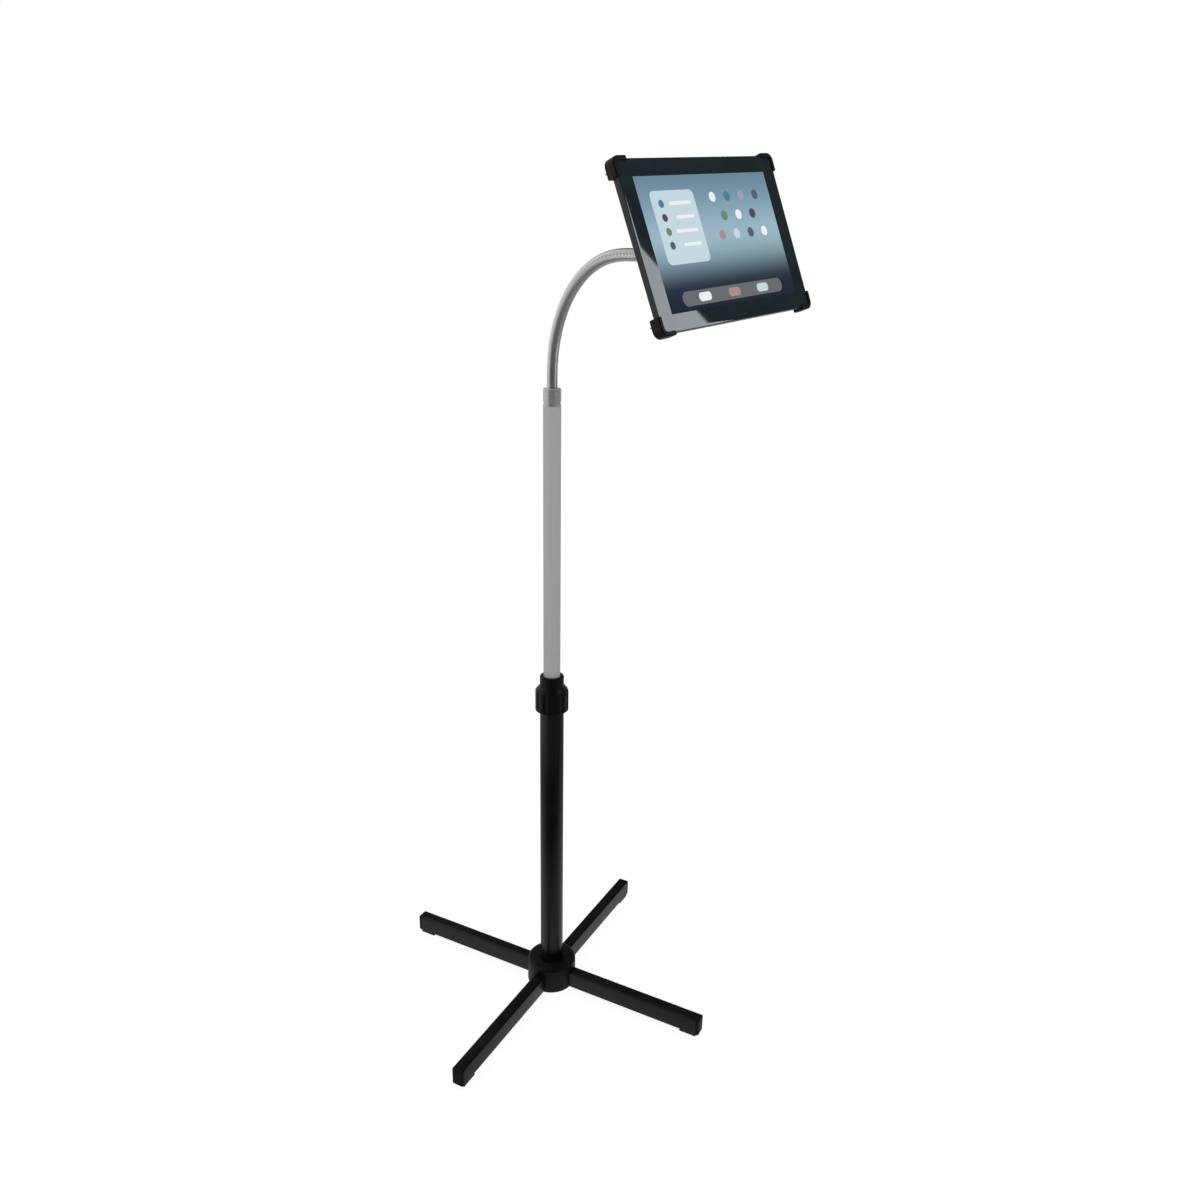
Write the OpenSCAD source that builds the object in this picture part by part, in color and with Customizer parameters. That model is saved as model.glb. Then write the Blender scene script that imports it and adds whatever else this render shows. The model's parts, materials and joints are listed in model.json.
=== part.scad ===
// Adjustable tablet floor stand: a cross base, a telescopic pole with a twist
// lock, a flexible gooseneck, and a holder that tilts and turns on a ball head.
// The origin is on the floor on the pole's axis. +Z is up and the tablet
// faces -Y. Sizes are in millimetres and angles in degrees.

/* [Base] */
// Reach of a leg from the pole's axis to the end of its cap
leg_reach = 260; // [200:1:330]
// Width of a leg
leg_width = 18; // [14:0.5:24]
// Height of a leg
leg_height = 27; // [20:0.5:32]
// Wall of a leg's tube
leg_wall = 1.5; // [1:0.1:2.5]
// Turn of the cross about the pole
base_turn = 22.4; // [0:0.1:45]
// Thickness of a leg's end cap
cap_thickness = 5; // [3:0.5:10]
// Depth of the cap's plug in the leg
cap_depth = 14; // [8:1:24]
// Radius of the cap's outer corners
cap_round = 3; // [1:0.5:5]
// Height of the rubber feet
foot_height = 3; // [2:0.5:6]
// Length of a rubber foot
foot_length = 26; // [16:1:40]
// Thickness of the hub foot's skin under the bolt and screws
foot_skin = 0.6; // [0.4:0.1:1]

/* [Hub] */
// Diameter of the hub
hub_diameter = 76; // [66:1:90]
// Thickness of the hub above the legs
hub_roof = 13; // [5:0.5:16]
// Radius of the hub's top edge
hub_round = 4; // [1:0.5:5]
// Thickness of the hub between the pole and the legs
hub_wall = 4; // [2.5:0.5:6]
// Thickness of the hub's floor under the pole
hub_floor = 7; // [5.5:0.5:12]
// Diameter of the hub bolt
hub_bolt_d = 8; // [6:0.5:10]
// Thickness of the hub bolt's head
hub_bolt_head = 3; // [2:0.5:4]
// Thickness of the hub washer
hub_washer_t = 1; // [0.5:0.1:1.5]
// Diameter of a leg screw
leg_screw_d = 4; // [3:0.5:5]
// Depth of a leg screw in the hub's roof
leg_screw_bite = 4; // [2:0.5:4.5]

/* [Lower tube] */
// Diameter of the lower tube
lower_d = 35; // [33:0.5:40]
// Wall of the lower tube
lower_wall = 1.5; // [1:0.1:2]
// Length of the lower tube
lower_length = 465; // [400:1:600]
// Length of the plug in the foot of the lower tube
plug_length = 28; // [15:1:40]

/* [Twist lock] */
// Depth of the guide sleeve in the lower tube
sleeve_depth = 35; // [20:1:50]
// Thickness of the sleeve's flange on the tube
sleeve_flange = 3; // [2:0.5:5]
// Length of the sleeve's threaded neck
sleeve_neck = 29; // [24:1:36]
// Diameter of the threaded neck
thread_d = 33; // [31:0.5:34]
// Length of the split wedge
wedge_length = 24; // [18:1:28]
// Thickness of the wedge at its thin end
wedge_wall = 1; // [0.8:0.1:1.4]
// Thickness of the wedge at its thick end
wedge_head = 2.6; // [2:0.1:3]
// Diameter of the collar's grip
collar_d = 49; // [44:0.5:60]
// Length of the collar's grip
collar_grip = 31; // [24:1:40]
// Length of the collar's shoulder
collar_shoulder = 8; // [4:0.5:12]
// Diameter of the collar's rim
collar_rim_d = 35; // [31:0.5:38]
// Length of the collar's rim
collar_rim = 15; // [8:0.5:24]
// Number of grip flutes
flutes = 12; // [8:1:16]
// Depth of a grip flute
flute_depth = 1.2; // [0.5:0.1:2]

/* [Upper tube] */
// Diameter of the upper tube
upper_d = 24.5; // [22:0.5:26]
// Wall of the upper tube
upper_wall = 1.2; // [0.8:0.1:2]
// Length of the upper tube
upper_length = 619; // [520:1:680]
// Length of upper tube that shows above the lock
upper_show = 387; // [330:1:420]
// Length of the slide bush
bush_length = 30; // [16:1:40]
// Thickness of the stops on each side of the slide bush
stop_thickness = 4; // [2:0.5:6]
// Height that the stops stand out from the upper tube
stop_step = 2; // [1:0.1:3]

/* [Ferrule] */
// Height of the ferrule above the upper tube
ferrule_height = 23; // [16:0.5:34]
// Depth of the ferrule's shank in the upper tube
ferrule_shank = 25; // [15:1:40]
// Depth of the neck's seat in the ferrule
neck_seat = 18; // [10:1:24]
// Height of the groove above the upper tube
groove_height = 2; // [1:0.5:4]
// Width of the groove
groove_width = 3; // [1:0.5:4]
// Depth of the groove
groove_depth = 0.8; // [0.3:0.1:1.5]
// Diameter of the set screw
set_screw_d = 4; // [3:0.5:5]
// Turn of the set screw about the pole
set_screw_turn = -40; // [-180:5:180]

/* [Gooseneck] */
// Diameter of the gooseneck
neck_d = 15; // [13:0.5:17]
// Diameter of the gooseneck's bore
neck_bore_d = 8; // [5:0.5:8.5]
// Length of one section of the gooseneck
section_length = 26.5; // [22:0.25:28]
// Length of gooseneck over which it bends
bend_run = 230; // [225:5:320]
// Angle of the whole bend
neck_bend = 90.2; // [60:0.1:95]
// Growth of the bend along its run, where 1 is an even arc
bend_growth = 1.15; // [1:0.05:1.4]
// Depth of the ribs
rib_depth = 0.6; // [0.3:0.1:0.7]
// Number of ribs on a section
ribs = 6; // [4:1:8]
// Gap between two sections at a joint
section_gap = 3; // [2.6:0.1:3.4]

/* [Ball head] */
// Diameter of the ball
ball_d = 22; // [20:0.5:24]
// Distance from the neck's end to the ball's centre
stud_length = 28; // [26:0.5:36]
// Diameter of the stud behind the ball
stud_d = 10; // [8.5:0.5:10.5]
// Depth of the stud in the neck
stud_depth = 15; // [8:1:20]
// Wall of the end sleeve
sleeve_wall = 1.5; // [1:0.1:2]
// Depth of the end sleeve over the neck
sleeve_lap = 8; // [5:0.5:12]
// Length of the end sleeve past the neck's end
sleeve_nose = 10; // [6:0.5:10.5]
// Wall of the ball socket at the ball's middle
socket_wall = 5; // [4:0.5:6]
// Length of the ball socket from the ball's centre
socket_length = 22; // [19:0.5:28]
// Diameter of the turning flange
flange_d = 44; // [38:1:46]
// Thickness of the turning flange
flange_t = 4; // [3:0.5:6]
// Wall of the lock nut
nut_wall = 4; // [3:0.5:5]
// Length of the lock nut ahead of the ball's centre
nut_length = 14; // [10:0.5:17]
// Reach of the lock nut behind the ball's centre
nut_lip = 3.5; // [2.5:0.1:3.6]
// Diameter of the turning spindle
spindle_d = 12; // [10:0.5:14]
// Diameter of the spindle screw
spindle_screw_d = 4; // [3:0.5:5]
// Thickness of the friction washer
friction_t = 0.9; // [0.5:0.1:2]
// Lean of the tablet
tablet_lean = 20.5; // [10:0.1:30]
// Swing of the head to the side
head_swing = 4.8; // [-8:0.1:8]
// Turn of the holder about its spindle
holder_turn = 5.1; // [-20:0.1:20]

/* [Holder] */
// Diameter of the boss on the tray's back
boss_d = 48; // [46:1:60]
// Length of the boss behind the tray
boss_length = 12.4; // [8:0.1:20]
// Thickness of the tray's plate
tray_t = 2.5; // [2.4:0.1:5]
// Distance of the plate's edge inside the tablet's edge
tray_inset = 8; // [4:0.5:12]
// Corner radius of the tray's plate
tray_round = 6; // [3:0.5:10]
// Width of the ribs on the tray's back
back_rib_w = 6; // [4:0.5:10]
// Height of the ribs on the tray's back
back_rib_h = 4; // [2:0.5:7]
// Thickness of the pads under the tablet
pad_t = 0.6; // [0.5:0.1:2]
// Diameter of the pads under the tablet
pad_d = 18; // [12:1:30]
// Length of a corner clip along each side
clip_length = 20; // [18:1:34]
// Wall of a corner clip
clip_wall = 2.4; // [2.2:0.1:5]
// Reach of a clip over the tablet's face
clip_reach = 2; // [1.5:0.5:6]
// Thickness of a clip's lip
clip_lip = 1.5; // [1.2:0.1:3]
// Diameter of a clip screw
clip_screw_d = 1.2; // [1:0.1:1.4]

/* [Tablet] */
// Width of the tablet
tablet_w = 258; // [230:1:280]
// Height of the tablet
tablet_h = 172; // [150:1:190]
// Thickness of the tablet
tablet_t = 8.5; // [8:0.5:12]
// Corner radius of the tablet
tablet_round = 6; // [5:0.5:11]
// Wall of the tablet's back shell
tablet_wall = 1.5; // [1:0.1:2]
// Thickness of the tablet's front frame
frame_t = 1.5; // [1:0.1:2]
// Side border of the display
border_side = 20.5; // [14:0.5:28]
// Top and bottom border of the display
border_end = 18; // [12:0.5:22]
// Reach of the display behind the front frame
display_lap = 4; // [2:0.5:6]
// Thickness of the display behind the front frame
display_t = 1.7; // [1:0.1:2]
// Thickness of the battery
battery_t = 3; // [2:0.1:3.3]
// Gap around the battery
battery_gap = 14; // [8:1:30]

/* [Fits] */
// Gap of a part that is fixed in another
fixed_fit = 0.05; // [0.02:0.01:0.1]
// Gap of a part that slides or turns in another
running_fit = 0.06; // [0.02:0.01:0.1]
// Gap between moving parts that don't bear on each other
free_gap = 0.3; // [0.3:0.05:0.5]

/* [Hidden] */
$fn = 96;
legs = 4;
clips = 4;
sections = 12;
cut = 1;
// Depth that the shapes of one piece run into each other
lap = 0.5;

// Colours
moulded_black = [0.07, 0.07, 0.07];
painted_black = [0.05, 0.05, 0.055];
rubber_black = [0.11, 0.11, 0.11];
satin_silver = [0.66, 0.66, 0.67];
bright_steel = [0.78, 0.78, 0.79];
zinc = [0.6, 0.61, 0.62];
nylon_white = [0.9, 0.9, 0.87];
tablet_black = [0.1, 0.1, 0.105];
display_blue = [0.45, 0.58, 0.66];
battery_grey = [0.3, 0.31, 0.33];

// Base and hub, heights above the floor
leg_top = foot_height + leg_height;
hub_top = leg_top + hub_roof;
tube_seat = foot_height + hub_floor;
socket_start = lower_d / 2 + hub_wall;
leg_start = socket_start + fixed_fit;
leg_end = leg_reach - cap_thickness;
cap_edge = min(cap_round, 0.8 * cap_thickness);
leg_screw_at = (socket_start + hub_diameter / 2) / 2;
leg_screw_head_d = 2 * leg_screw_d;
leg_screw_head = foot_height - foot_skin - fixed_fit;
screw_pocket_gap = 0.5;
foot_inset = 1;
hub_foot_inset = 2;
bolt_seat = max(foot_height, foot_skin + fixed_fit + hub_bolt_head + hub_washer_t);
bolt_head_top = bolt_seat - hub_washer_t;
bolt_recess_d = 2.6 * hub_bolt_d;
hub_washer_d = 2.25 * hub_bolt_d;
bolt_hex_d = 1.85 * hub_bolt_d;
bolt_short = 2;

// Lower tube and twist lock, heights above the floor
lower_bore = lower_d - 2 * lower_wall;
lower_top = tube_seat + lower_length;
sleeve_top = lower_top + sleeve_flange + sleeve_neck;
upper_run_d = upper_d + 2 * running_fit;
wedge_thin_d = upper_run_d + 2 * wedge_wall;
wedge_thick_d = upper_run_d + 2 * wedge_head;
wedge_taper = 0.75 * wedge_length;
wedge_start = sleeve_top - wedge_taper;
wedge_top = wedge_start + wedge_length;
wedge_slot = 2;
collar_start = lower_top + sleeve_flange + free_gap;
collar_bore = thread_d + 2 * free_gap;
collar_step = wedge_top + free_gap;
collar_grip_top = collar_start + collar_grip;
collar_rim_start = collar_grip_top + collar_shoulder;
collar_top = collar_rim_start + collar_rim;
collar_throat = upper_d + 2 * free_gap;
flute_r = 3;

// Upper tube and ferrule, heights above the floor
upper_bore = upper_d - 2 * upper_wall;
upper_top = collar_top + upper_show;
upper_start = upper_top - upper_length;
bush_start = upper_start + free_gap;
stop_d = upper_d + 2 * stop_step;
ferrule_top = upper_top + ferrule_height;
ferrule_round = 1.5;
seat_d = neck_d + 2 * fixed_fit;
set_screw_z = ferrule_top - neck_seat / 2;

// Gooseneck: each section is straight. The first stands upright in the ferrule,
// and the bend starts at its middle
function bent_share(i) = min((i - 1) * section_length / bend_run, 1);
function lean(i) = neck_bend * pow(bent_share(i), bend_growth);
function step_of(i) = section_length * [0, -sin(lean(i)), cos(lean(i))];
function pivot(i) = i == 0 ? [0, 0, ferrule_top] : pivot(i - 1) + step_of(i);
dome_r = neck_d / 2 - free_gap;
valley_d = neck_d - 2 * rib_depth;
rib_pitch = (section_length - section_gap) / ribs;

// Ball head: distances along the holder's own axis from the ball's centre
ball_at = pivot(sections) + stud_length * [0, -sin(lean(sections)), cos(lean(sections))];
cup_r = ball_d / 2 + running_fit;
socket_d = 2 * cup_r + 2 * socket_wall;
nut_bore = socket_d + 2 * free_gap;
nut_d = nut_bore + 2 * nut_wall;
nut_flute_r = 2.5;
nut_flute_depth = 1;
nut_flutes = 18;
flange_face = socket_length + flange_t;
washer_gap = 0.1;
boss_back = flange_face + friction_t + washer_gap;
tray_back = boss_back + boss_length;
tray_face = tray_back + tray_t;
spindle_end = tray_back + fixed_fit;
friction_inset = 2;
spindle_washer_t = 1;
spindle_washer_rim = 4;
spindle_screw_start = 2;
spindle_washer_d = spindle_d + 2 * spindle_washer_rim;
spindle_head_t = 1.6;

// Holder and tablet
tablet_back_at = tray_face + pad_t;
tablet_face = tablet_back_at + tablet_t;
tray_w = tablet_w - 2 * tray_inset;
tray_h = tablet_h - 2 * tray_inset;
clip_pocket_gap = 0.2;
clip_w = tablet_w + 2 * clip_pocket_gap;
clip_h = tablet_h + 2 * clip_pocket_gap;
clip_pocket_round = tablet_round + clip_pocket_gap;
clip_front = tablet_face + clip_pocket_gap;
clip_screw_short = 2;
clip_screw_bite = tablet_t - clip_screw_short;
clip_screw_head = 1.4;
clip_screw_head_d = 1.6 * clip_screw_d;
clip_screw_from_end = 7;
frame_back = tablet_face - frame_t;
display_w = tablet_w - 2 * border_side;
display_h = tablet_h - 2 * border_end;
battery_round = 3;

// A plate with round corners, from height z0 to z1
module rounded_plate(w, h, r, z0, z1) {
    translate([0, 0, z0])
        linear_extrude(z1 - z0) {
            square([w - 2 * r, h], center = true);
            square([w, h - 2 * r], center = true);
            for (x = [-1, 1], y = [-1, 1])
                translate([x * (w / 2 - r), y * (h / 2 - r)])
                    circle(r);
        }
}

// A ring from height z0 to z1
module ring(outer_d, inner_d, z0, z1) {
    difference() {
        translate([0, 0, z0])
            cylinder(d = outer_d, h = z1 - z0);
        translate([0, 0, z0 - cut])
            cylinder(d = inner_d, h = z1 - z0 + 2 * cut);
    }
}

// A rod from height z0 to z1
module rod(d, z0, z1) {
    translate([0, 0, z0])
        cylinder(d = d, h = z1 - z0);
}

// The place of leg i, with the leg along +X
module at_leg(i) {
    rotate([0, 0, base_turn + 360 / legs * i])
        children();
}

// A box along a leg, from x0 to x1 and z0 to z1
module leg_box(x0, x1, w, z0, z1) {
    translate([x0, -w / 2, z0])
        cube([x1 - x0, w, z1 - z0]);
}

module hub_solid() {
    rotate_extrude() {
        translate([0, foot_height])
            square([hub_diameter / 2, hub_top - foot_height - hub_round]);
        translate([0, foot_height])
            square([hub_diameter / 2 - hub_round, hub_top - foot_height]);
        intersection() {
            translate([hub_diameter / 2 - hub_round, hub_top - hub_round])
                circle(hub_round);
            translate([0, foot_height])
                square([hub_diameter, hub_top]);
        }
    }
}

module hub() {
    color(moulded_black)
        difference() {
            hub_solid();
            rod(lower_d + 2 * fixed_fit, tube_seat, hub_top + cut);
            rod(hub_bolt_d + 2 * fixed_fit, foot_height - cut, tube_seat + cut);
            rod(bolt_recess_d, foot_height - cut, bolt_seat);
            for (i = [1:legs])
                at_leg(i) {
                    leg_box(socket_start, hub_diameter, leg_width + 2 * fixed_fit, 0, leg_top + fixed_fit);
                    translate([leg_screw_at, 0, 0])
                        rod(leg_screw_d + 2 * fixed_fit, leg_top - cut, leg_top + leg_screw_bite + fixed_fit);
                }
        }
}

module hub_foot() {
    color(rubber_black)
        difference() {
            rod(hub_diameter - 2 * hub_foot_inset, 0, foot_height);
            rod(bolt_recess_d, foot_skin, foot_height + cut);
            for (i = [1:legs])
                at_leg(i)
                    translate([leg_screw_at, 0, 0])
                        rod(leg_screw_head_d + 2 * screw_pocket_gap, foot_skin, foot_height + cut);
        }
}

module hub_bolt() {
    color(zinc) {
        translate([0, 0, bolt_head_top - hub_bolt_head])
            cylinder(d = bolt_hex_d, h = hub_bolt_head, $fn = 6);
        rod(hub_bolt_d, bolt_head_top - lap, tube_seat + plug_length - bolt_short);
    }
}

module hub_washer() {
    color(zinc)
        ring(hub_washer_d, hub_bolt_d + 2 * fixed_fit, bolt_head_top, bolt_seat);
}

module tube_plug() {
    color(moulded_black)
        ring(lower_bore - 2 * fixed_fit, hub_bolt_d + 2 * fixed_fit, tube_seat, tube_seat + plug_length);
}

module leg(i) {
    inner_w = leg_width - 2 * leg_wall;
    color(painted_black)
        at_leg(i)
            difference() {
                leg_box(leg_start, leg_end, leg_width, foot_height, leg_top);
                leg_box(0, leg_reach, inner_w, foot_height + leg_wall, leg_top - leg_wall);
                translate([leg_screw_at, 0, 0])
                    rod(leg_screw_d + 2 * fixed_fit, 0, leg_top + cut);
            }
}

module leg_cap(i) {
    plug_w = leg_width - 2 * leg_wall - 2 * fixed_fit;
    plug_low = foot_height + leg_wall + fixed_fit;
    plug_high = leg_top - leg_wall - fixed_fit;
    color(moulded_black)
        at_leg(i) {
            leg_box(leg_end - cap_depth, leg_end + lap, plug_w, plug_low, plug_high);
            translate([0, 0, foot_height])
                linear_extrude(leg_height) {
                    translate([leg_end, -leg_width / 2])
                        square([cap_thickness - cap_edge, leg_width]);
                    translate([leg_end, cap_edge - leg_width / 2])
                        square([cap_thickness, leg_width - 2 * cap_edge]);
                    for (side = [-1, 1])
                        intersection() {
                            translate([leg_reach - cap_edge, side * (leg_width / 2 - cap_edge)])
                                circle(cap_edge);
                            translate([leg_end, -leg_width])
                                square(2 * leg_width);
                        }
                }
        }
}

module leg_feet() {
    foot_w = leg_width - 2 * foot_inset;
    color(rubber_black)
        for (i = [1:legs])
            at_leg(i)
                leg_box(leg_end - foot_length, leg_end, foot_w, 0, foot_height);
}

module leg_screws() {
    color(zinc)
        for (i = [1:legs])
            at_leg(i)
                translate([leg_screw_at, 0, 0]) {
                    rod(leg_screw_head_d, foot_height - leg_screw_head, foot_height);
                    rod(leg_screw_d, foot_height - lap, leg_top + leg_screw_bite);
                }
}

module lower_tube() {
    color(painted_black)
        ring(lower_d, lower_bore, tube_seat, lower_top);
}

module guide_sleeve() {
    color(moulded_black)
        difference() {
            union() {
                rod(lower_bore - 2 * fixed_fit, lower_top - sleeve_depth, lower_top + lap);
                rod(lower_d, lower_top, lower_top + sleeve_flange);
                rod(thread_d, lower_top + sleeve_flange - lap, sleeve_top);
            }
            rod(upper_run_d, lower_top - sleeve_depth - cut, sleeve_top + cut);
            translate([0, 0, wedge_start])
                cylinder(
                    d1 = wedge_thin_d + 2 * fixed_fit,
                    d2 = wedge_thick_d + 2 * fixed_fit,
                    h = wedge_taper
                );
        }
}

module lock_wedge() {
    color(nylon_white)
        difference() {
            rotate_extrude()
                polygon([
                    [upper_run_d / 2, wedge_start],
                    [wedge_thin_d / 2, wedge_start],
                    [wedge_thick_d / 2, sleeve_top],
                    [wedge_thick_d / 2, wedge_top],
                    [upper_run_d / 2, wedge_top]
                ]);
            translate([0, -wedge_slot / 2, wedge_start - cut])
                cube([wedge_thick_d, wedge_slot, wedge_length + 2 * cut]);
        }
}

module lock_collar() {
    color(moulded_black)
        difference() {
            rotate_extrude()
                polygon([
                    [collar_bore / 2, collar_start],
                    [collar_d / 2, collar_start],
                    [collar_d / 2, collar_grip_top],
                    [collar_rim_d / 2, collar_rim_start],
                    [collar_rim_d / 2, collar_top],
                    [collar_throat / 2, collar_top],
                    [collar_throat / 2, collar_step],
                    [collar_bore / 2, collar_step]
                ]);
            for (i = [1:flutes])
                rotate([0, 0, 360 / flutes * i])
                    translate([collar_d / 2 + flute_r - flute_depth, 0, 0])
                        rod(2 * flute_r, collar_start - cut, collar_rim_start);
        }
}

module slide_bush() {
    color(nylon_white)
        ring(lower_bore - 2 * running_fit, upper_run_d, bush_start, bush_start + bush_length);
}

module upper_tube() {
    color(satin_silver)
        ring(upper_d, upper_bore, upper_start, upper_top);
}

module tube_end_plug() {
    color(moulded_black) {
        rod(upper_bore - 2 * fixed_fit, upper_start - lap, upper_start + bush_length);
        rod(stop_d, upper_start - stop_thickness, upper_start);
    }
}

module bush_ring() {
    ring_start = bush_start + bush_length + free_gap;
    color(zinc)
        ring(stop_d, upper_d + 2 * fixed_fit, ring_start, ring_start + stop_thickness);
}

module ferrule() {
    shank_r = upper_bore / 2 - fixed_fit;
    groove_at = upper_top + groove_height;
    groove_r = upper_d / 2 - groove_depth;
    color(bright_steel)
        difference() {
            rotate_extrude()
                polygon([
                    [0, upper_top - ferrule_shank],
                    [shank_r, upper_top - ferrule_shank],
                    [shank_r, upper_top],
                    [upper_d / 2, upper_top],
                    [upper_d / 2, groove_at],
                    [groove_r, groove_at],
                    [groove_r, groove_at + groove_width],
                    [upper_d / 2, groove_at + groove_width],
                    [upper_d / 2, ferrule_top - ferrule_round],
                    [upper_d / 2 - ferrule_round, ferrule_top],
                    [0, ferrule_top]
                ]);
            rod(seat_d, ferrule_top - neck_seat, ferrule_top + cut);
            translate([0, 0, set_screw_z])
                rotate([90, 0, set_screw_turn])
                    rod(set_screw_d + 2 * fixed_fit, 0, upper_d);
        }
}

module set_screw() {
    color(zinc)
        translate([0, 0, set_screw_z])
            rotate([90, 0, set_screw_turn])
                rod(set_screw_d, seat_d / 2, upper_d / 2 - groove_depth);
}

// The place of gooseneck section i, which runs along +Z from pivot i - 1
module at_section(i) {
    translate(pivot(i - 1))
        rotate([lean(i), 0, 0])
            children();
}

// The ribbed outside of a section: a crest at both ends and valleys between
module ribbed_solid() {
    crest = neck_d / 2;
    valley = valley_d / 2;
    points = [
        for (k = [0:ribs - 1])
            for (p = [[crest, 0], [crest, 0.35], [valley, 0.5], [valley, 0.75], [crest, 0.9]])
                [p[0], section_gap + (k + p[1]) * rib_pitch]
    ];
    rotate_extrude()
        polygon(concat(
            [[0, section_gap]],
            points,
            [[crest, section_length], [0, section_length]]
        ));
}

module neck_section(i) {
    first = i == 1;
    last = i == sections;
    color(bright_steel)
        at_section(i)
            difference() {
                union() {
                    ribbed_solid();
                    if (first)
                        rod(valley_d, -neck_seat, section_gap + lap);
                    if (!last)
                        translate([0, 0, section_length])
                            sphere(dome_r);
                }
                if (!first)
                    sphere(neck_d / 2);
                rod(neck_bore_d, -neck_seat - cut, section_length + neck_d);
            }
}

module end_sleeve() {
    outer_d = neck_d + 2 * sleeve_wall;
    color(bright_steel)
        at_section(sections)
            difference() {
                rod(outer_d, section_length - sleeve_lap, section_length + sleeve_nose);
                rod(seat_d, section_length - sleeve_lap - cut, section_length);
                rod(stud_d + 2 * fixed_fit, section_length - cut, section_length + sleeve_nose + cut);
            }
}

module ball_stud() {
    color(bright_steel)
        at_section(sections) {
            rod(neck_bore_d - 2 * fixed_fit, section_length - stud_depth, section_length + lap);
            rod(stud_d, section_length, section_length + stud_length);
            translate([0, 0, section_length + stud_length])
                sphere(d = ball_d);
        }
}

// The place of the ball head, with its own axis along +Z towards the viewer
module at_head() {
    translate(ball_at)
        rotate([90 - tablet_lean, 0, head_swing])
            children();
}

module ball_socket() {
    color(moulded_black)
        at_head()
            difference() {
                union() {
                    rod(socket_d, free_gap, socket_length + lap);
                    rod(flange_d, socket_length, flange_face);
                    rod(spindle_d, flange_face - lap, spindle_end);
                }
                sphere(cup_r);
                rod(spindle_screw_d + 2 * fixed_fit, flange_face, spindle_end + cut);
            }
}

module lock_nut() {
    color(moulded_black)
        at_head()
            difference() {
                rod(nut_d, -nut_lip, nut_length);
                sphere(cup_r);
                rod(nut_bore, 0, nut_length + cut);
                for (i = [1:nut_flutes])
                    rotate([0, 0, 360 / nut_flutes * i])
                        translate([nut_d / 2 + nut_flute_r - nut_flute_depth, 0, 0])
                            rod(2 * nut_flute_r, -nut_lip - cut, nut_length + cut);
            }
}

module friction_washer() {
    color(rubber_black)
        at_head()
            ring(
                flange_d - 2 * friction_inset, spindle_d + 2 * running_fit,
                flange_face, flange_face + friction_t
            );
}

module spindle_washer() {
    color(zinc)
        at_head()
            ring(
                spindle_washer_d, spindle_screw_d + 2 * fixed_fit,
                spindle_end, spindle_end + spindle_washer_t
            );
}

module spindle_screw() {
    head_at = spindle_end + spindle_washer_t;
    color(zinc)
        at_head() {
            rod(spindle_screw_d, flange_face + spindle_screw_start, head_at + lap);
            rod(2 * spindle_screw_d, head_at, head_at + spindle_head_t);
        }
}

// The place of the holder, which is turned about the head's axis
module at_holder() {
    at_head()
        rotate([0, 0, holder_turn])
            children();
}

// The outer block of corner clip i, from height z0 to z1
module clip_block(i, z0, z1) {
    side_x = i <= 2 ? -1 : 1;
    side_y = i % 2 == 1 ? 1 : -1;
    outer_w = clip_w + 2 * clip_wall;
    outer_h = clip_h + 2 * clip_wall;
    intersection() {
        rounded_plate(outer_w, outer_h, clip_pocket_round + clip_wall, z0, z1);
        translate([side_x * outer_w / 2, side_y * outer_h / 2, (z0 + z1) / 2])
            cube([2 * clip_length, 2 * clip_length, z1 - z0 + 2 * cut], center = true);
    }
}

// The two screw places of corner clip i
module at_clip_screws(i) {
    side_x = i <= 2 ? -1 : 1;
    side_y = i % 2 == 1 ? 1 : -1;
    from_corner = clip_length - clip_screw_from_end;
    edge_x = clip_w / 2 + clip_wall;
    edge_y = clip_h / 2 + clip_wall;
    mid_wall = clip_wall / 2;
    for (place = [[from_corner, mid_wall], [mid_wall, from_corner]])
        translate([side_x * (edge_x - place[0]), side_y * (edge_y - place[1]), 0])
            children();
}

module tray() {
    rib_reach = norm([tablet_w, tablet_h]) / 2 - clip_length;
    rib_turn = atan(tablet_h / tablet_w);
    color(moulded_black)
        at_holder()
            difference() {
                union() {
                    rounded_plate(tray_w, tray_h, tray_round, tray_back, tray_face);
                    for (i = [1:clips])
                        clip_block(i, tray_back, tray_face);
                    rod(boss_d, boss_back, tray_back + lap);
                    for (turn = [rib_turn, -rib_turn])
                        rotate([0, 0, turn])
                            translate([-rib_reach, -back_rib_w / 2, tray_back - back_rib_h])
                                cube([2 * rib_reach, back_rib_w, back_rib_h + lap]);
                }
                rod(spindle_d + 2 * running_fit, boss_back - cut, tray_back + cut);
                rod(spindle_washer_d + 2 * free_gap, tray_back, tray_face + cut);
                for (i = [1:clips])
                    at_clip_screws(i)
                        rod(clip_screw_d + 2 * fixed_fit, tray_back - cut, tray_face + cut);
            }
}

module corner_clip(i) {
    window_w = tablet_w - 2 * clip_reach;
    window_h = tablet_h - 2 * clip_reach;
    color(moulded_black)
        at_holder()
            difference() {
                clip_block(i, tray_face, clip_front + clip_lip);
                rounded_plate(clip_w, clip_h, clip_pocket_round, tray_face - cut, clip_front);
                rounded_plate(
                    window_w, window_h, tablet_round / 2,
                    clip_front - cut, clip_front + clip_lip + cut
                );
                at_clip_screws(i)
                    rod(
                        clip_screw_d + 2 * fixed_fit,
                        tray_face - cut, tray_face + clip_screw_bite + fixed_fit
                    );
            }
}

module clip_screws() {
    color(zinc)
        at_holder()
            for (i = [1:clips])
                at_clip_screws(i) {
                    rod(clip_screw_head_d, tray_back - clip_screw_head, tray_back);
                    rod(clip_screw_d, tray_back - lap, tray_face + clip_screw_bite);
                }
}

module tray_pads() {
    color(rubber_black)
        at_holder()
            for (x = [-1, 1], y = [-1, 1])
                translate([x * tablet_w / 4, y * tablet_h / 4, 0])
                    rod(pad_d, tray_face, tablet_back_at);
}

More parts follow.
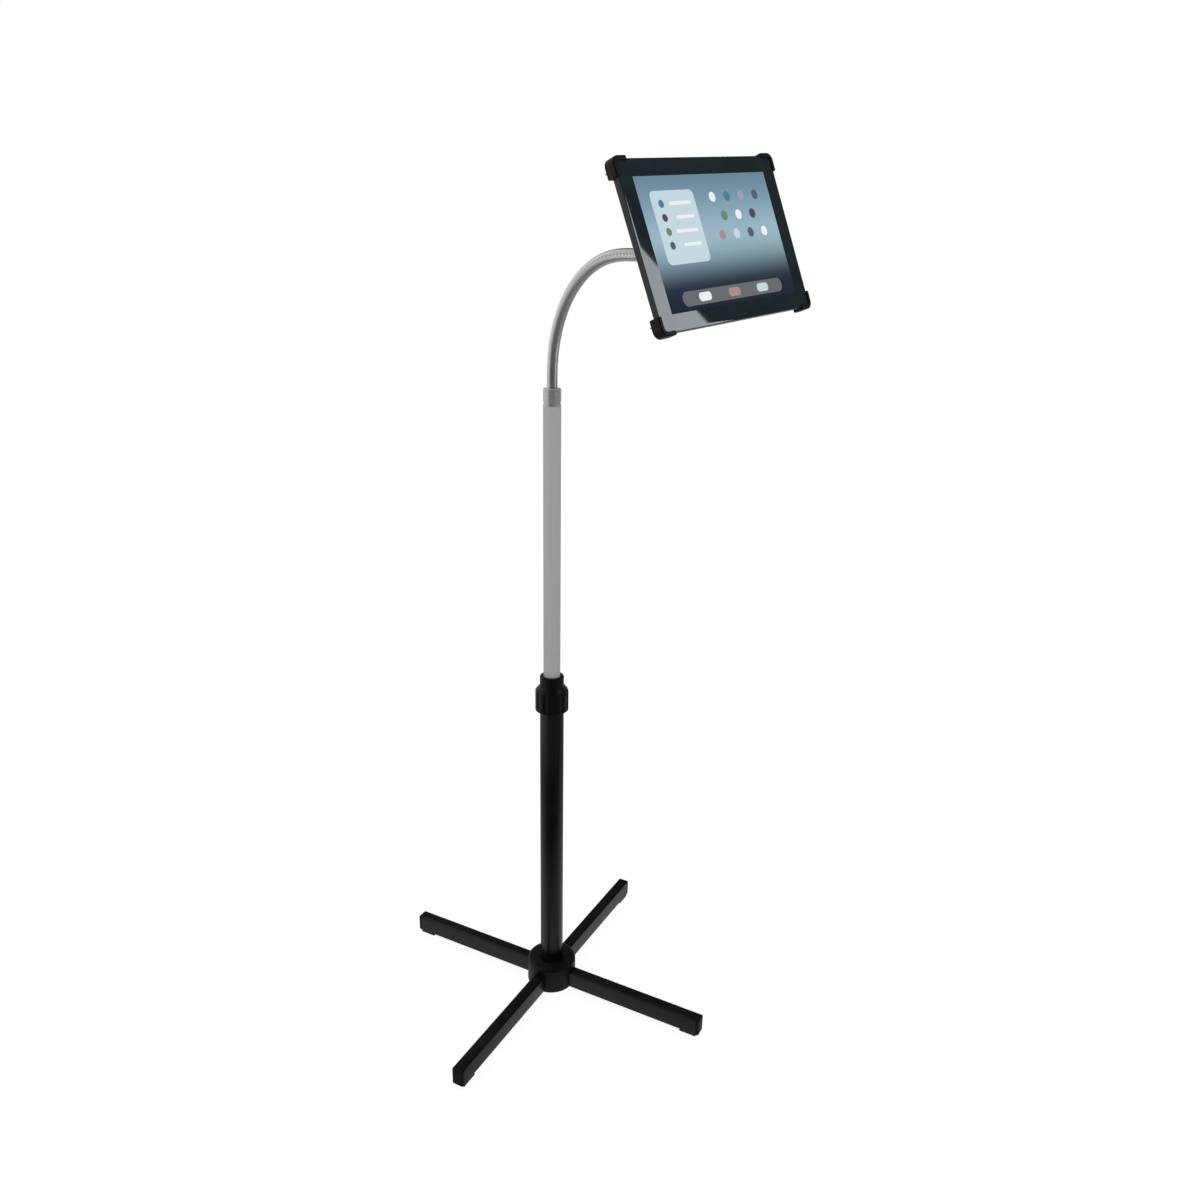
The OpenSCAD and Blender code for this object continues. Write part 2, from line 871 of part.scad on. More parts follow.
module tablet_back() {
    inner_w = tablet_w - 2 * tablet_wall;
    inner_h = tablet_h - 2 * tablet_wall;
    color(tablet_black)
        at_holder()
            difference() {
                rounded_plate(tablet_w, tablet_h, tablet_round, tablet_back_at, frame_back);
                rounded_plate(
                    inner_w, inner_h, tablet_round - tablet_wall,
                    tablet_back_at + tablet_wall, frame_back + cut
                );
            }
}

module tablet_battery() {
    battery_w = tablet_w - 2 * battery_gap;
    battery_h = tablet_h - 2 * battery_gap;
    battery_start = tablet_back_at + tablet_wall;
    color(battery_grey)
        at_holder()
            rounded_plate(battery_w, battery_h, battery_round, battery_start, battery_start + battery_t);
}

module tablet_display() {
    panel_w = display_w + 2 * display_lap;
    panel_h = display_h + 2 * display_lap;
    face_w = display_w - 2 * fixed_fit;
    face_h = display_h - 2 * fixed_fit;
    color(display_blue)
        at_holder()
            translate([0, 0, frame_back]) {
                translate([-panel_w / 2, -panel_h / 2, -display_t])
                    cube([panel_w, panel_h, display_t]);
                translate([-face_w / 2, -face_h / 2, -lap])
                    cube([face_w, face_h, frame_t + lap]);
            }
}

module tablet_frame() {
    color(moulded_black)
        at_holder()
            difference() {
                rounded_plate(tablet_w, tablet_h, tablet_round, frame_back, tablet_face);
                translate([0, 0, tablet_face])
                    cube([display_w, display_h, 4 * frame_t], center = true);
            }
}

hub();
hub_foot();
hub_bolt();
hub_washer();
tube_plug();
for (i = [1:legs]) leg(i);
for (i = [1:legs]) leg_cap(i);
leg_feet();
leg_screws();
lower_tube();
guide_sleeve();
lock_wedge();
lock_collar();
slide_bush();
upper_tube();
tube_end_plug();
bush_ring();
ferrule();
set_screw();
for (i = [1:sections]) neck_section(i);
end_sleeve();
ball_stud();
ball_socket();
lock_nut();
friction_washer();
spindle_washer();
spindle_screw();
tray();
for (i = [1:clips]) corner_clip(i);
clip_screws();
tray_pads();
tablet_back();
tablet_battery();
tablet_display();
tablet_frame();
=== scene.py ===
# %% [markdown]
# # Dressing a tablet floor stand
# The construction of this stand comes from a solid model: a cross base, a pole
# of two tubes with a twist lock, a gooseneck, and a holder with a tablet. Here it
# gets its looks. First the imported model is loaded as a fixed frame, so that every
# new piece can be placed in the same coordinates, in metres, with no fitting.

# %% Load the frame
import json
import math

import bmesh
import bpy
import numpy as np
from mathutils import Matrix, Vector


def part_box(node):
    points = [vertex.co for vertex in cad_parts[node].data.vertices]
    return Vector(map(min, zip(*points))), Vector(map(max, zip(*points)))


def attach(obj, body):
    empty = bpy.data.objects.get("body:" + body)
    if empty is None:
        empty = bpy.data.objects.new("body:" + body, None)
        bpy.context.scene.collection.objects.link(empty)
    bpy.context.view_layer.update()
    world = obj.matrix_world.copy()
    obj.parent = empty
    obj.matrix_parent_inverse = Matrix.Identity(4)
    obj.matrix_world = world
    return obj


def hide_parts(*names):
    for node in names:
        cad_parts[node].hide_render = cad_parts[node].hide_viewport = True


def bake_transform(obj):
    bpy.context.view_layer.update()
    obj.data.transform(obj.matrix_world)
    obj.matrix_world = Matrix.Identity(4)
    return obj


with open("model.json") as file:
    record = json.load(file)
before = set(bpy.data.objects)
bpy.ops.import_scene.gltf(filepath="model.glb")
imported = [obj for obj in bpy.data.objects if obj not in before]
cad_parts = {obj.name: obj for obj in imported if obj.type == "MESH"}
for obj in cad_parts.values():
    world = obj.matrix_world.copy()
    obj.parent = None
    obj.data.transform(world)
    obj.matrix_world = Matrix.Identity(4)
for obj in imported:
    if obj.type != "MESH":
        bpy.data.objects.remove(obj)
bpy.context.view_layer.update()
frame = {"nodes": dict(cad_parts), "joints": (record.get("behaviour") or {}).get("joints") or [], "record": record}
nodes = frame["nodes"]
joints = {joint["name"]: joint for joint in frame["joints"]}
mm = 0.001

# %% [markdown]
# ## The camera
# The picture that this scene follows was taken from the front left, from about
# the tablet's height, looking down. A camera can be aimed with a tracking
# constraint, but then its roll is lost. Here its three axes are worked out from a
# heading, a pitch and a small roll, and written into its matrix.

# %% Camera
eye = np.array([-0.8055, -1.0677, 1.1068])
heading = math.radians(39.94)
pitch = math.radians(18.94)
roll = math.radians(0.99)
lens = 30.0
sensor = 36.0

ahead = np.array([
    math.sin(heading) * math.cos(pitch),
    math.cos(heading) * math.cos(pitch),
    -math.sin(pitch),
])
level = np.array([math.cos(heading), -math.sin(heading), 0.0])
plumb = np.cross(level, ahead)
right = level * math.cos(roll) + plumb * math.sin(roll)
up = plumb * math.cos(roll) - level * math.sin(roll)

camera = bpy.data.objects.new("camera", bpy.data.cameras.new("camera"))
camera.data.lens = lens
camera.data.sensor_width = sensor
camera_axes = np.eye(4)
camera_axes[:3, :] = np.stack([right, up, -ahead, eye], axis=1)
camera.matrix_world = Matrix(camera_axes.tolist())
scene = bpy.context.scene
scene.collection.objects.link(camera)
scene.camera = camera
scene.view_settings.view_transform = "Standard"
print("camera looks along", ahead.round(3))

# %% [markdown]
# ## The holder's own axes
# The tablet leans back and is turned a little on its spindle, so its pieces are
# drawn flat, with x to the right, y up and z towards the viewer, and then placed.
# The joint that turns the holder gives the origin and the z axis. The head's x axis
# is level, and the holder's other two axes follow from the angle of that turn.

# %% Axes of the head and the holder
holder_turn = math.radians(5.1)
upright = np.array([0.0, 0.0, 1.0])
ball = np.array(joints["holder_turn"]["pos_m"], float)
head_z = np.array(joints["holder_turn"]["axis"], float)
head_z /= np.linalg.norm(head_z)
head_x = np.cross(upright, head_z)
head_x /= np.linalg.norm(head_x)
head_y = np.cross(head_z, head_x)
head_axes = np.stack([head_x, head_y, head_z])
holder_axes = np.stack([
    head_x * math.cos(holder_turn) + head_y * math.sin(holder_turn),
    head_y * math.cos(holder_turn) - head_x * math.sin(holder_turn),
    head_z,
])


def at_head(points):
    """Points drawn about the ball's centre, turned onto the head's axes."""
    return ball + points @ head_axes


def at_holder(points):
    """Points drawn about the ball's centre, turned onto the holder's axes."""
    return ball + points @ holder_axes


print("ball at", ball.round(4), "facing", head_z.round(4))

# %% [markdown]
# ## The surround
# The stand is shown on white. More light on the object would wash it out, so the
# white comes from what the rays see: the world is white where a camera ray meets
# it. A mirror ray meets another room: white walls, a dark ceiling that keeps the
# tops of the legs black, a bright panel behind the gooseneck, and a dim patch where
# the photographer stands. These give metal its dark and light bands.

# %% World
ambient = 0.80
ceiling_glow = 0.05
ceiling_from = math.sin(math.radians(4))
ceiling_to = math.sin(math.radians(18))
photographer_side = (-0.65, -0.76, 0.0)
photographer_glow = 0.05
photographer_cosines = (0.50, 0.85)
right_side = (0.76, -0.65, 0.0)
right_glow = 0.25
right_cosines = (0.30, 0.90)
panel_side = (-0.42, 0.72, 0.55)
panel_cosines = (0.70, 0.84)


def add_node(tree, kind, inputs, **settings):
    """Adds a shader node. Each input, by name or number, takes a socket or a plain value."""
    node = tree.nodes.new(f"ShaderNode{kind}")
    for name, value in settings.items():
        setattr(node, name, value)
    for name, value in inputs.items():
        if isinstance(value, bpy.types.NodeSocket):
            tree.links.new(value, node.inputs[name])
        else:
            node.inputs[name].default_value = value
    return node.outputs


def mapped(tree, value, from_range, to_range):
    """Spreads a value from one range over another, held at both ends."""
    inputs = {"Value": value, "From Min": from_range[0], "From Max": from_range[1]}
    inputs |= {"To Min": to_range[0], "To Max": to_range[1]}
    return add_node(tree, "MapRange", inputs)["Result"]


def arithmetic(tree, operation, first, second):
    """One Math node on two sockets."""
    return add_node(tree, "Math", {0: first, 1: second}, operation=operation)[0]


def mixed(tree, share, first, second):
    """Mixes two shaders by a share socket."""
    return add_node(tree, "MixShader", {"Fac": share, 1: first, 2: second})[0]


def component(tree, place, direction):
    """How far a place, or a direction, lies along another direction."""
    return add_node(tree, "VectorMath", {0: place, 1: direction}, operation="DOT_PRODUCT")["Value"]


def ray_kinds(tree):
    """Sockets that say whether a ray comes from the camera, and whether from a mirror."""
    path = add_node(tree, "LightPath", {})
    mirror = arithmetic(tree, "MAXIMUM", path["Is Glossy Ray"], path["Is Transmission Ray"])
    return path["Is Camera Ray"], mirror


def white_light(tree, kind, strength):
    """A white Background or Emission of a strength, given as a number or a socket."""
    return add_node(tree, kind, {"Color": (1, 1, 1, 1), "Strength": strength})[0]


world = bpy.data.worlds.new("studio")
world.use_nodes = True
scene.world = world
sky = world.node_tree
sky.nodes.clear()
direction = add_node(sky, "TexCoord", {})["Generated"]
height = component(sky, direction, (0.0, 0.0, 1.0))
walls = mapped(sky, height, (ceiling_from, ceiling_to), (1.0, ceiling_glow))
photographer = component(sky, direction, photographer_side)
beside = mapped(sky, photographer, photographer_cosines, (1.0, photographer_glow))
beyond = mapped(sky, component(sky, direction, right_side), right_cosines, (1.0, right_glow))
panel = mapped(sky, component(sky, direction, panel_side), panel_cosines, (0.0, 1.0))
sides = arithmetic(sky, "MULTIPLY", beside, beyond)
room_glow = arithmetic(sky, "MAXIMUM", arithmetic(sky, "MULTIPLY", walls, sides), panel)
camera_ray, mirror_ray = ray_kinds(sky)
room = white_light(sky, "Background", room_glow)
surround = mixed(sky, mirror_ray, white_light(sky, "Background", ambient), room)
surround = mixed(sky, camera_ray, surround, white_light(sky, "Background", 1.0))
add_node(sky, "OutputWorld", {"Surface": surround})
print("world nodes", len(sky.nodes))

# %% [markdown]
# ## The floor
# A white floor would end in a grey line at the horizon. So the floor is a plain
# diffuse surface only near the pole, where it takes the stand's soft shadow, and
# turns to pure white further out. Seen in a mirror it is bright beside the stand
# and dim towards the photographer, so that the black pole stays black in front
# and has light edges. Further out it brightens, for the gooseneck, but for a dim
# aisle in which the photographer stands.

# %% Floor
floor_half = 9.0
floor_colour = (0.86, 0.86, 0.86, 1)
bounce_colour = (0.62, 0.62, 0.62, 1)
shadow_fade = (0.30, 0.95)
shadow_share = 0.14
floor_glow = 1.05
mirrored_near = 0.60
mirrored_far = 0.32
near_fade = (0.30, 0.90)
mirrored_front = 0.07
front_fade = (0.05, 0.40)
mirrored_rim = 0.30
rim_starts = (0.95, 1.15)
rim_rises = (0.70, 2.40)
aisle_glow = 0.40
aisle_end = 0.03
aisle_starts = (1.10, 1.35)
aisle_fades = (1.90, 3.60)
aisle_cosines = (0.62, 0.86)

floor_mesh = bpy.data.meshes.new("floor")
floor_corners = floor_half * np.array([[-1, -1, 0], [1, -1, 0], [1, 1, 0], [-1, 1, 0]])
floor_mesh.from_pydata(floor_corners.tolist(), [], [[0, 1, 2, 3]])
floor = bpy.data.objects.new("floor", floor_mesh)
scene.collection.objects.link(floor)


def matte(tree, colour):
    """A plain diffuse surface."""
    return add_node(tree, "BsdfDiffuse", {"Color": colour})[0]


floor_finish = bpy.data.materials.new("floor_white")
floor_finish.use_nodes = True
tree = floor_finish.node_tree
tree.nodes.clear()
place = add_node(tree, "TexCoord", {})["Object"]
away = add_node(tree, "VectorMath", {0: place}, operation="LENGTH")["Value"]
camera_ray, mirror_ray = ray_kinds(tree)
white_share = mapped(tree, away, shadow_fade, (1 - shadow_share, 1.0))
pure_white = white_light(tree, "Emission", floor_glow)
seen = mixed(tree, white_share, matte(tree, floor_colour), pure_white)
towards = component(tree, place, photographer_side)
front_share = mapped(tree, towards, front_fade, (1.0, mirrored_front))
near_glow = mapped(tree, away, near_fade, (mirrored_near, mirrored_far))
near_glow = arithmetic(tree, "MULTIPLY", near_glow, front_share)
far_glow = arithmetic(
    tree, "MINIMUM",
    mapped(tree, away, rim_starts, (0.0, 1.0)), mapped(tree, away, rim_rises, (mirrored_rim, 1.0)),
)
aisle = arithmetic(
    tree, "MINIMUM",
    mapped(tree, away, aisle_starts, (0.0, aisle_glow)),
    mapped(tree, away, aisle_fades, (aisle_glow, aisle_end)),
)
beside_aisle = mapped(tree, arithmetic(tree, "DIVIDE", towards, away), aisle_cosines, (1.0, 0.0))
far_glow = arithmetic(tree, "MINIMUM", far_glow, arithmetic(tree, "MAXIMUM", aisle, beside_aisle))
rightwards = arithmetic(tree, "DIVIDE", component(tree, place, right_side), away)
right_share = mapped(tree, rightwards, right_cosines, (1.0, right_glow))
far_glow = arithmetic(tree, "MULTIPLY", far_glow, right_share)
mirrored = white_light(tree, "Emission", arithmetic(tree, "MAXIMUM", near_glow, far_glow))
surface = mixed(tree, camera_ray, matte(tree, bounce_colour), seen)
surface = mixed(tree, mirror_ray, surface, mirrored)
add_node(tree, "OutputMaterial", {"Surface": surface})
floor_mesh.materials.append(floor_finish)
print("floor", 2 * floor_half, "m wide")

# %% [markdown]
# ## The softbox
# The lower left of the tablet's border mirrors a lamp, with a straight slanting
# edge. A lamp could be moved by eye until its mirror image falls there. It is
# surer to send two rays through the ends of that edge, mirror them in the glass,
# and lay the edge of a square lamp along the line between them.

# %% Softbox
picture_width = 1200.0
picture_middle = picture_width / 2
picture_focus = picture_width * lens / sensor
glare_edge = ((637.0, 243.0), (705.0, 320.0))
glare_inside = (640.0, 320.0)
softbox_away = 1.5
softbox_size = 0.5
softbox_watts = 4.1
softbox_tint = (0.90, 0.95, 1.0)
glass_face = 51 * mm


def mirrored_ray(pixel):
    """The place where a pixel's ray meets the glass, and its direction after the mirror."""
    across, down = (np.array(pixel) - picture_middle) / picture_focus
    ray = ahead + right * across - up * down
    glass = ball + head_z * glass_face
    place = eye + ray * ((glass - eye) @ head_z) / (ray @ head_z)
    away = ray - 2 * (ray @ head_z) * head_z
    return place, away / np.linalg.norm(away)


edge_places, edge_rays = zip(*[mirrored_ray(pixel) for pixel in glare_edge])
lamp_axis = np.mean(edge_rays, axis=0)
lamp_axis /= np.linalg.norm(lamp_axis)
lamp_plane = np.mean(edge_places, axis=0) + lamp_axis * softbox_away


def on_lamp_plane(place, ray):
    """Where a ray from a place meets the lamp's plane."""
    return place + ray * ((lamp_plane - place) @ lamp_axis) / (ray @ lamp_axis)


edge_start, edge_end = [on_lamp_plane(place, ray) for place, ray in zip(edge_places, edge_rays)]
along_edge = (edge_end - edge_start) / np.linalg.norm(edge_end - edge_start)
inwards = np.cross(lamp_axis, along_edge)
inside = on_lamp_plane(*mirrored_ray(glare_inside)) - edge_start
inwards *= np.sign(inside @ inwards)
lamp_place = (edge_start + edge_end) / 2 + inwards * softbox_size / 2


def area_lamp(name, place, axis, side, size, watts):
    """A square lamp at a place, shining against its axis, with one side along side."""
    data = bpy.data.lights.new(name, "AREA")
    data.shape = "SQUARE"
    data.size = size
    data.energy = watts
    lamp = bpy.data.objects.new(name, data)
    matrix = np.eye(4)
    matrix[:3, :] = np.stack([side, np.cross(axis, side), axis, place], axis=1)
    lamp.matrix_world = Matrix(matrix.tolist())
    lamp.visible_camera = False
    scene.collection.objects.link(lamp)
    return lamp


softbox = area_lamp("softbox", lamp_place, lamp_axis, along_edge, softbox_size, softbox_watts)
softbox.data.color = softbox_tint
softbox.visible_diffuse = False
print("softbox at", lamp_place.round(2), "edge", np.linalg.norm(edge_end - edge_start).round(3))

# %% Overhead lamp
overhead_place = np.array([-0.3, -0.4, 3.0])
overhead_size = 2.4
overhead_watts = 26.0

overhead = area_lamp(
    "overhead", overhead_place, upright, np.array([1.0, 0.0, 0.0]), overhead_size, overhead_watts,
)
overhead.visible_glossy = False
print("overhead lamp", overhead_size, "m")

# %% [markdown]
# ## Finishes
# No surface of the real stand is one flat colour. Each finish is a Principled
# shader with fields of noise on Object coordinates, in metres, so that their
# scale is real: moulded plastic has a fine spark-eroded grain, powder coat has a
# slight orange peel, and drawn tube has lines along it. An image could be used
# for these, but noise needs no file and no unwrapping.

# %% Helpers for finishes
usual_noise = (0.3, 0.7)
bump_strength = 0.6
finishes = {}


def srgb(red, green, blue):
    """A colour as it is seen on a screen, 0 to 255, in the shader's linear light."""
    seen_colour = np.array([red, green, blue]) / 255
    linear = np.where(
        seen_colour > 0.04045, ((seen_colour + 0.055) / 1.055) ** 2.4, seen_colour / 12.92
    )
    return (*linear.tolist(), 1.0)


def new_finish(name, metallic=0.0, specular=0.5):
    """A material, kept by its name, with its Principled shader ready for its fields."""
    finish = bpy.data.materials.new(name)
    finish.use_nodes = True
    finishes[name] = finish
    shader = finish.node_tree.nodes["Principled BSDF"]
    shader.inputs["Metallic"].default_value = metallic
    shader.inputs["Specular IOR Level"].default_value = specular
    return finish.node_tree, shader


def grain(tree, scale, stretch=(1.0, 1.0, 1.0), detail=4.0):
    """Noise on Object coordinates: scale is cells a metre, stretch makes an axis finer."""
    place = add_node(tree, "TexCoord", {})["Object"]
    place = add_node(tree, "Mapping", {"Vector": place, "Scale": stretch})["Vector"]
    return add_node(tree, "TexNoise", {"Vector": place, "Scale": scale, "Detail": detail})["Fac"]


def tint(tree, field, stops, socket, interpolation="LINEAR"):
    """Colours a field by a ramp of (position, colour) stops."""
    ramp = tree.nodes.new("ShaderNodeValToRGB")
    ramp.color_ramp.interpolation = interpolation
    elements = ramp.color_ramp.elements
    while len(elements) < len(stops):
        elements.new(0.5)
    for element, (position, colour) in zip(elements, stops):
        element.position = position
        element.color = srgb(*colour)
    tree.links.new(field, ramp.inputs["Fac"])
    tree.links.new(ramp.outputs["Color"], socket)


def vary(tree, field, limits, socket):
    """Lets a field's usual values vary a socket between two limits."""
    tree.links.new(mapped(tree, field, usual_noise, limits), socket)


def shade(tree, shader, field, dark, light, roughness, light_from=usual_noise[1]):
    """Lets one field vary the colour, from dark to light, and the roughness."""
    tint(tree, field, [(usual_noise[0], dark), (light_from, light)], shader.inputs["Base Color"])
    vary(tree, field, roughness, shader.inputs["Roughness"])


def relief(tree, shader, field, height):
    """Raises the surface by a field, up to a height in metres."""
    inputs = {"Strength": bump_strength, "Distance": height, "Height": field}
    tree.links.new(add_node(tree, "Bump", inputs)["Normal"], shader.inputs["Normal"])


print("helpers for finishes are ready")

# %% Moulded and painted black


def moulded_black():
    """Black moulded plastic: a fine eroded grain, a little uneven in gloss."""
    tree, shader = new_finish("moulded_black", specular=0.2)
    shade(tree, shader, grain(tree, 45), dark=(6, 6, 6), light=(11, 11, 12), roughness=(0.40, 0.54))
    relief(tree, shader, grain(tree, 1100), 0.12 * mm)


def painted_black():
    """Black powder coat on steel: a shallow orange peel under a satin gloss."""
    tree, shader = new_finish("painted_black", specular=0.34)
    shade(tree, shader, grain(tree, 25), dark=(8, 7, 7), light=(14, 12, 12), roughness=(0.24, 0.34))
    relief(tree, shader, grain(tree, 620, detail=2.0), 0.08 * mm)


def rubber_black():
    """Matte black rubber with a dusty, uneven surface."""
    tree, shader = new_finish("rubber_black", specular=0.25)
    shade(
        tree, shader, grain(tree, 70),
        dark=(30, 30, 30), light=(46, 45, 44), roughness=(0.78, 0.92), light_from=0.75,
    )
    relief(tree, shader, grain(tree, 900), 0.15 * mm)


moulded_black()
painted_black()
rubber_black()
print("finishes", sorted(finishes))

# %% Metals


def satin_silver():
    """Silver lacquer on drawn tube: faint lines along the tube, broad soft gloss."""
    tree, shader = new_finish("satin_silver", metallic=0.04, specular=0.1)
    lines = grain(tree, 1.0, stretch=(700, 700, 9), detail=3.0)
    shade(tree, shader, lines, dark=(172, 172, 173), light=(180, 180, 181), roughness=(0.40, 0.50))
    relief(tree, shader, lines, 0.02 * mm)


def bright_steel():
    """Nickel-plated turned steel: faint rings from the lathe under a clear gloss."""
    tree, shader = new_finish("bright_steel", metallic=0.6)
    rings = grain(tree, 1.0, stretch=(30, 30, 900), detail=2.0)
    shade(tree, shader, rings, dark=(174, 173, 172), light=(184, 183, 182), roughness=(0.26, 0.32))


def gooseneck_steel():
    """Satin chrome on wound wire, bright on the crests, with painted shade darkening it down in the grooves."""
    tree, shader = new_finish("gooseneck_steel", metallic=0.9)
    groove = add_node(tree, "Attribute", {}, attribute_name="groove")["Fac"]
    # Painted shade: the colour darkens from the crest down to the groove's floor, where shade falls.
    crest_to_painted_shade = [(0.0, (208, 207, 204)), (0.55, (196, 195, 192)), (1.0, (128, 127, 126))]
    tint(tree, groove, crest_to_painted_shade, shader.inputs["Base Color"])
    vary(tree, grain(tree, 160), (0.18, 0.25), shader.inputs["Roughness"])


def zinc_steel():
    """Bright zinc plate: a mottled, cool grey."""
    tree, shader = new_finish("zinc_steel", metallic=1.0)
    mottle = grain(tree, 500, detail=6.0)
    shade(tree, shader, mottle, dark=(160, 162, 165), light=(192, 194, 197), roughness=(0.28, 0.42))


satin_silver()
bright_steel()
gooseneck_steel()
zinc_steel()
print("finishes", sorted(finishes))

# %% Tablet and inner pieces


def tablet_glass():
    """Gloss black border glass, with the faint smears of handling in its gloss."""
    tree, shader = new_finish("tablet_glass")
    smears = grain(tree, 22, stretch=(1.0, 1.0, 2.2))
    shade(tree, shader, smears, dark=(29, 38, 42), light=(35, 45, 49), roughness=(0.015, 0.035))


def tablet_shell():
    """The tablet's dark shell: bead-blasted, with a soft satin gloss."""
    tree, shader = new_finish("tablet_shell", specular=0.4)
    blasted = grain(tree, 1500)
    shade(tree, shader, blasted, dark=(20, 19, 20), light=(28, 27, 28), roughness=(0.38, 0.48))
    relief(tree, shader, blasted, 0.04 * mm)


def white_nylon():
    """Natural nylon, milky and slightly waxy."""
    tree, shader = new_finish("white_nylon")
    milk = grain(tree, 60)
    shade(tree, shader, milk, dark=(224, 222, 212), light=(236, 235, 228), roughness=(0.40, 0.50))


def battery_wrap():
    """Dull grey film round the battery, slightly wrinkled."""
    tree, shader = new_finish("battery_wrap")
    wrinkles = grain(tree, 120)
    shade(tree, shader, wrinkles, dark=(74, 76, 80), light=(90, 92, 96), roughness=(0.45, 0.60))
    relief(tree, shader, wrinkles, 0.2 * mm)


tablet_glass()
tablet_shell()
white_nylon()
battery_wrap()
print("finishes", sorted(finishes))

# %% [markdown]
# ## Surfaces from numbers
# Most pieces here are one of three surfaces, each a grid of points: a profile
# turned about an axis, a rounded outline that is drawn in step by step, or a
# profile carried along a path. Working on whole arrays keeps the formulas short
# and fast. A helper rounds the corners of a profile first, because hardly any real
# edge is sharp, and the thin highlight on a rounded edge is what makes it look real.

# %% Grids and rounded profiles
least_step = 1e-8


def grid_faces(rows, columns, wrap_rows=False, wrap_columns=True):
    """Each grid point, with its neighbours in the next row and column, makes a quad."""
    row = np.arange(rows if wrap_rows else rows - 1)
    column = np.arange(columns if wrap_columns else columns - 1)
    row, column = np.meshgrid(row, column, indexing="ij")
    next_row = (row + 1) % rows
    next_column = (column + 1) % columns
    corners = [
        row * columns + column, row * columns + next_column,
        next_row * columns + next_column, next_row * columns + column,
    ]
    return np.stack(corners, axis=-1).reshape(-1, 4)


def rounded(corners, radii, steps=6, closed=True):
    """Each corner of an outline becomes an arc: it starts one tangent length before the
    corner, which is the radius times the tangent of half the turn, and turns to the next side."""
    corners = np.array(corners, float)
    radii = np.array(radii, float)[:, None]
    before = corners - np.roll(corners, 1, axis=0)
    after = np.roll(corners, -1, axis=0) - corners
    before /= np.linalg.norm(before, axis=1, keepdims=True)
    after /= np.linalg.norm(after, axis=1, keepdims=True)
    cross = before[:, :1] * after[:, 1:] - before[:, 1:] * after[:, :1]
    turn = np.arctan2(cross, (before * after).sum(axis=1, keepdims=True))
    if not closed:
        radii[[0, -1]] = 0.0
    start = corners - before * radii * np.tan(np.abs(turn) / 2)
    sideways = np.stack([-before[:, 1], before[:, 0]], axis=1) * np.sign(turn)
    angle = (np.linspace(0, 1, steps) * np.abs(turn))[:, :, None]
    ahead_part = np.sin(angle) * before[:, None, :]
    side_part = (1 - np.cos(angle)) * sideways[:, None, :]
    points = start[:, None, :] + radii[:, :, None] * (ahead_part + side_part)
    points = points.reshape(-1, 2)
    steps_taken = np.linalg.norm(points - np.roll(points, 1, axis=0), axis=1)
    return points[steps_taken > least_step]


def turned(profile, sides=96, closed=True):
    """A profile of (radius, height) points turned about the z axis."""
    angle = np.linspace(0, 2 * np.pi, sides, endpoint=False)
    radius, height = profile[:, :1], profile[:, 1:]
    points = np.stack(
        [radius * np.cos(angle), radius * np.sin(angle), height + 0 * angle], axis=-1
    )
    return points.reshape(-1, 3), grid_faces(len(profile), sides, wrap_rows=closed)


print("surface helpers are ready")

# %% Slabs and the making of a piece
per_corner = 10
least_radius = 0.02 * mm
merged_within = 0.0005 * mm
sharp_edge = math.radians(38)


def outline(width, height, radius):
    """A rectangle with round corners: four quarter circles round the middle, leftwards.
    Width, height and radius may be columns, and then each gives a ring of its own."""
    quarter = np.linspace(0, np.pi / 2, per_corner)
    angle = (np.arange(4)[:, None] * np.pi / 2 + quarter).ravel()
    side_x = np.repeat([1, -1, -1, 1], per_corner)
    side_y = np.repeat([1, 1, -1, -1], per_corner)
    across = side_x * (width / 2 - radius) + radius * np.cos(angle)
    upwards = side_y * (height / 2 - radius) + radius * np.sin(angle)
    return across, upwards


def slab(width, height, radius, profile, closed=False):
    """Rings of one outline: each profile point (inset, depth) draws the outline in by its
    inset, at its depth. An open profile is closed at both ends by a point in the middle."""
    inset, depth = profile[:, :1], profile[:, 1:]
    corner = np.maximum(radius - inset, least_radius)
    across, upwards = outline(width - 2 * inset, height - 2 * inset, corner)
    rings = np.stack([across, upwards, depth + 0 * across], axis=-1)
    if not closed:
        middle = rings * upright
        rings = np.concatenate([middle[:1], rings, middle[-1:]])
    return rings.reshape(-1, 3), grid_faces(len(rings), rings.shape[1], wrap_rows=closed)


def placed(shell, place):
    """A shell of points and faces, with its points put where a function says."""
    points, faces = shell
    return place(points), faces


def make_piece(name, shells, slot, body, replaces=(), finish=None, colours=None):
    """One object of one or more shells. Doubles at the poles are merged, faces turned outwards."""
    counts = [len(points) for points, _ in shells]
    starts = np.cumsum([0] + counts)
    points = np.concatenate([points for points, _ in shells])
    faces = [face for start, (_, quads) in zip(starts, shells) for face in (quads + start).tolist()]
    mesh = bpy.data.meshes.new(name)
    mesh.from_pydata(points.tolist(), [], faces)
    if colours:
        layer = mesh.attributes.new("shape_colour", "FLOAT_COLOR", "POINT")
        layer.data.foreach_set("color", np.repeat(colours, counts, axis=0).astype(np.float32).ravel())
    shell = bmesh.new()
    shell.from_mesh(mesh)
    bmesh.ops.remove_doubles(shell, verts=shell.verts, dist=merged_within)
    bmesh.ops.dissolve_degenerate(shell, edges=shell.edges, dist=merged_within / 5)
    bmesh.ops.recalc_face_normals(shell, faces=shell.faces)
    shell.to_mesh(mesh)
    shell.free()
    mesh.shade_smooth()
    mesh.set_sharp_from_angle(angle=sharp_edge)
    mesh.materials.append(finish or finishes[slot])
    piece = bpy.data.objects.new(name, mesh)
    scene.collection.objects.link(piece)
    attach(piece, body)
    if replaces:
        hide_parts(*replaces)
    print(name, len(mesh.polygons), "faces")
    return piece


print("slab and piece helpers are ready")

# %% [markdown]
# ## The legs
# Each leg is a rectangular steel tube. Such tube is rolled from strip, so its
# corners are round, which a plain box would miss. A rounded outline is carried
# along the leg, outside and then back inside, so the tube has its real wall. The
# end cap is a slab whose front edge is drawn in along a quarter circle.

